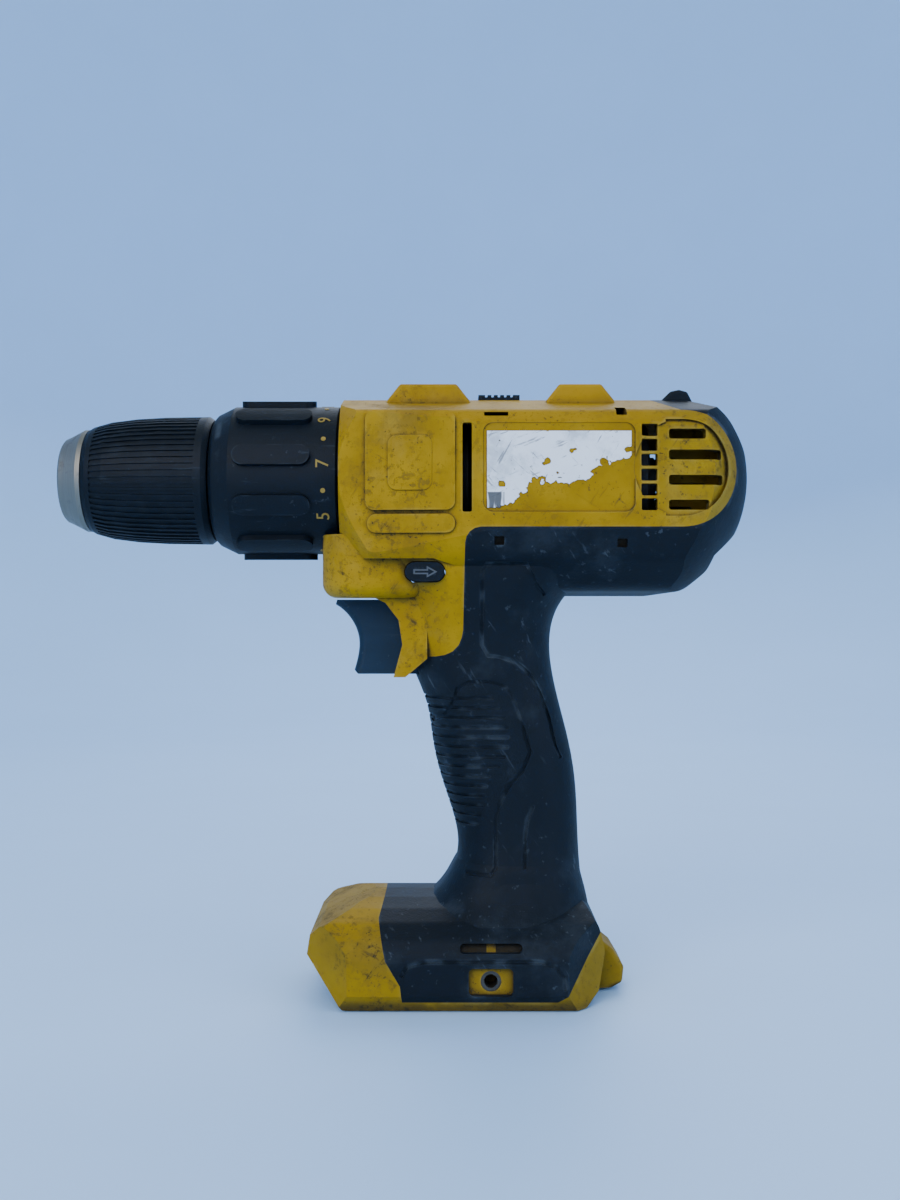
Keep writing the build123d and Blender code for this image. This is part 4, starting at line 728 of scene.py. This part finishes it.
class DRILL_OT_inside(bpy.types.Operator):
    """Finish the pieces inside the housing"""

    bl_idname = "drill.inside"
    bl_label = "Inner pieces"

    def execute(self, context):
        gear_steel = turned_steel("gear_steel", (0.46, 0.46, 0.47), 0.34)
        gears = [n for n in nodes if n.startswith(("planet_", "ring_gear", "carrier_"))]
        dress(gear_steel, *gears, "spindle", "motor_pinion", "motor_shaft", "clutch_pins", "clutch_washer")
        dress(gear_steel, "spindle_bearings", "motor_bearings", "shift_fork")
        can_steel = turned_steel("can_steel", (0.055, 0.05, 0.045), 0.6)
        dress(can_steel, "motor_can", "motor_plate", "housing_screws")
        dress(plain_finish("core_steel", (0.2, 0.2, 0.21), 1.0, 0.5), "rotor_core")
        dress(plain_finish("copper", (0.62, 0.26, 0.12), 1.0, 0.34), "rotor_windings", "commutator")
        dress(plain_finish("brass", (0.6, 0.42, 0.17), 1.0, 0.3), "terminal_blades")
        dress(plain_finish("dull_insert", (0.11, 0.10, 0.085), 1.0, 0.5), "hook_inserts")
        dress(plain_finish("carbon", (0.03, 0.03, 0.032), 0.0, 0.6), "motor_magnets", "motor_brushes")
        moulded = plain_finish("inner_moulding", (0.022, 0.023, 0.026), 0.0, 0.45)
        dress(moulded, "gear_case", "end_bell", "motor_fan", "clutch_nut")
        dress(moulded, "switch_module", "terminal_block")
        dress(plain_finish("wire_cover", (0.28, 0.02, 0.015), 0.0, 0.45), "leads")
        return {"FINISHED"}


class DRILL_OT_springs(bpy.types.Operator):
    """Make the two springs"""

    bl_idname = "drill.springs"
    bl_label = "Springs"

    def execute(self, context):
        spring_steel = turned_steel("spring_steel", (0.40, 0.40, 0.41), 0.36)
        for node, body, wire, turns in (
            ("clutch_spring", "clutch_nut", looks().clutch_wire, 4.5),
            ("trigger_spring", "trigger", looks().trigger_wire, 6.0),
        ):
            low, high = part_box(node)
            middle = (low + high) / 2
            radius = (high.y - low.y) / 2 - wire
            points, faces = helix_tube(low.x + wire, high.x - wire, middle.z, radius, wire, turns)
            piece = new_piece(f"{node}_coil", points, faces, None, spring_steel)
            piece.data.polygons.foreach_set("use_smooth", np.ones(len(faces), dtype=bool))
            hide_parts(node)
            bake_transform(piece)
        return {"FINISHED"}


class DRILL_OT_tongue(bpy.types.Operator):
    """Close the parting line behind the grip with the tongue inside its rear wall"""

    bl_idname = "drill.tongue"
    bl_label = "Seam tongue"

    def execute(self, context):
        foot_top, wall_gap = 0.036, 0.0001
        heights = np.linspace(0.022, 0.108, 44)
        back = rear_wall_line(np.maximum(heights, foot_top)) - wall_gap
        points, faces = wall_strip(back, heights, looks().tongue_depth, looks().tongue_width / 2)
        plastic = plain_finish("tongue_plastic", (0.022, 0.023, 0.026), 0.0, 0.45)
        new_piece("seam_tongue", points, faces, "housing", plastic)
        return {"FINISHED"}


class DRILL_OT_stage(bpy.types.Operator):
    """Make the floor, light and camera"""

    bl_idname = "drill.stage"
    bl_label = "Stage"

    def execute(self, context):
        scene = context.scene
        world = bpy.data.worlds.new("studio")
        scene.world = world
        world.use_nodes = True
        background = world.node_tree.nodes["Background"]
        background.inputs["Color"].default_value = (0.66, 0.83, 1.0, 1.0)
        background.inputs["Strength"].default_value = 0.95
        floor = floor_bowl(0.8, 0.6, 1.8, 0.0004)
        scene.collection.objects.link(floor)
        g = Graph("pale_floor")
        cloud = g.noise(9.0, 4.0, 0.6)
        tone = g.mix(cloud, tuple(looks().ground), tuple(0.94 * c for c in looks().ground))
        g.surface(Base_Color=tone, Roughness=0.55)
        floor.data.materials.append(g.material)
        for name, place, aim, size, power, colour in (
            ("key", (-0.38, -0.8, 0.62), (0.0, 0.0, 0.1), 0.9, 7.0, (1.0, 0.98, 0.95)),
            ("fill", (0.75, -0.6, 0.42), (0.0, 0.0, 0.1), 0.8, 3.0, (0.9, 0.95, 1.0)),
            ("back", (0.1, 0.8, 0.8), (0.0, 0.0, 0.12), 0.9, 5.0, (0.92, 0.96, 1.0)),
        ):
            data = bpy.data.lights.new(name, "AREA")
            data.shape = "DISK"
            data.size = size
            data.energy = power
            data.color = colour
            lamp = bpy.data.objects.new(name, data)
            scene.collection.objects.link(lamp)
            lamp.location = place
            away = Vector(place) - Vector(aim)
            lamp.rotation_euler = away.to_track_quat("Z", "Y").to_euler()
        data = bpy.data.cameras.new("camera")
        data.sensor_width = 36.0
        data.lens = 39.4
        data.clip_start = 0.01
        camera = bpy.data.objects.new("camera", data)
        scene.collection.objects.link(camera)
        camera.location = (-0.005, -0.42, 0.122)
        camera.rotation_euler = (math.pi / 2, 0.0, 0.0)
        scene.camera = camera
        return {"FINISHED"}


class DRILL_PT_panel(bpy.types.Panel):
    """Lists the drill's pieces"""

    bl_idname = "DRILL_PT_panel"
    bl_label = "Drill"
    bl_space_type = "VIEW_3D"
    bl_region_type = "UI"
    bl_category = "Drill"

    def draw(self, context):
        for operator in operators:
            self.layout.operator(operator.bl_idname)
        for key in DrillLooks.__annotations__:
            self.layout.prop(context.scene.drill_looks, key)


operators = (
    DRILL_OT_stage,
    DRILL_OT_housing,
    DRILL_OT_skin,
    DRILL_OT_chuck,
    DRILL_OT_collar,
    DRILL_OT_label,
    DRILL_OT_controls,
    DRILL_OT_inside,
    DRILL_OT_springs,
    DRILL_OT_tongue,
)
classes = (DrillLooks, *operators, DRILL_PT_panel)


def register():
    for cls in classes:
        bpy.utils.register_class(cls)
    bpy.types.Scene.drill_looks = bpy.props.PointerProperty(type=DrillLooks)


def unregister():
    del bpy.types.Scene.drill_looks
    for cls in reversed(classes):
        bpy.utils.unregister_class(cls)


def main():
    register()
    for operator in operators:
        group, name = operator.bl_idname.split(".")
        getattr(getattr(bpy.ops, group), name)()


if __name__ == "__main__":
    main()
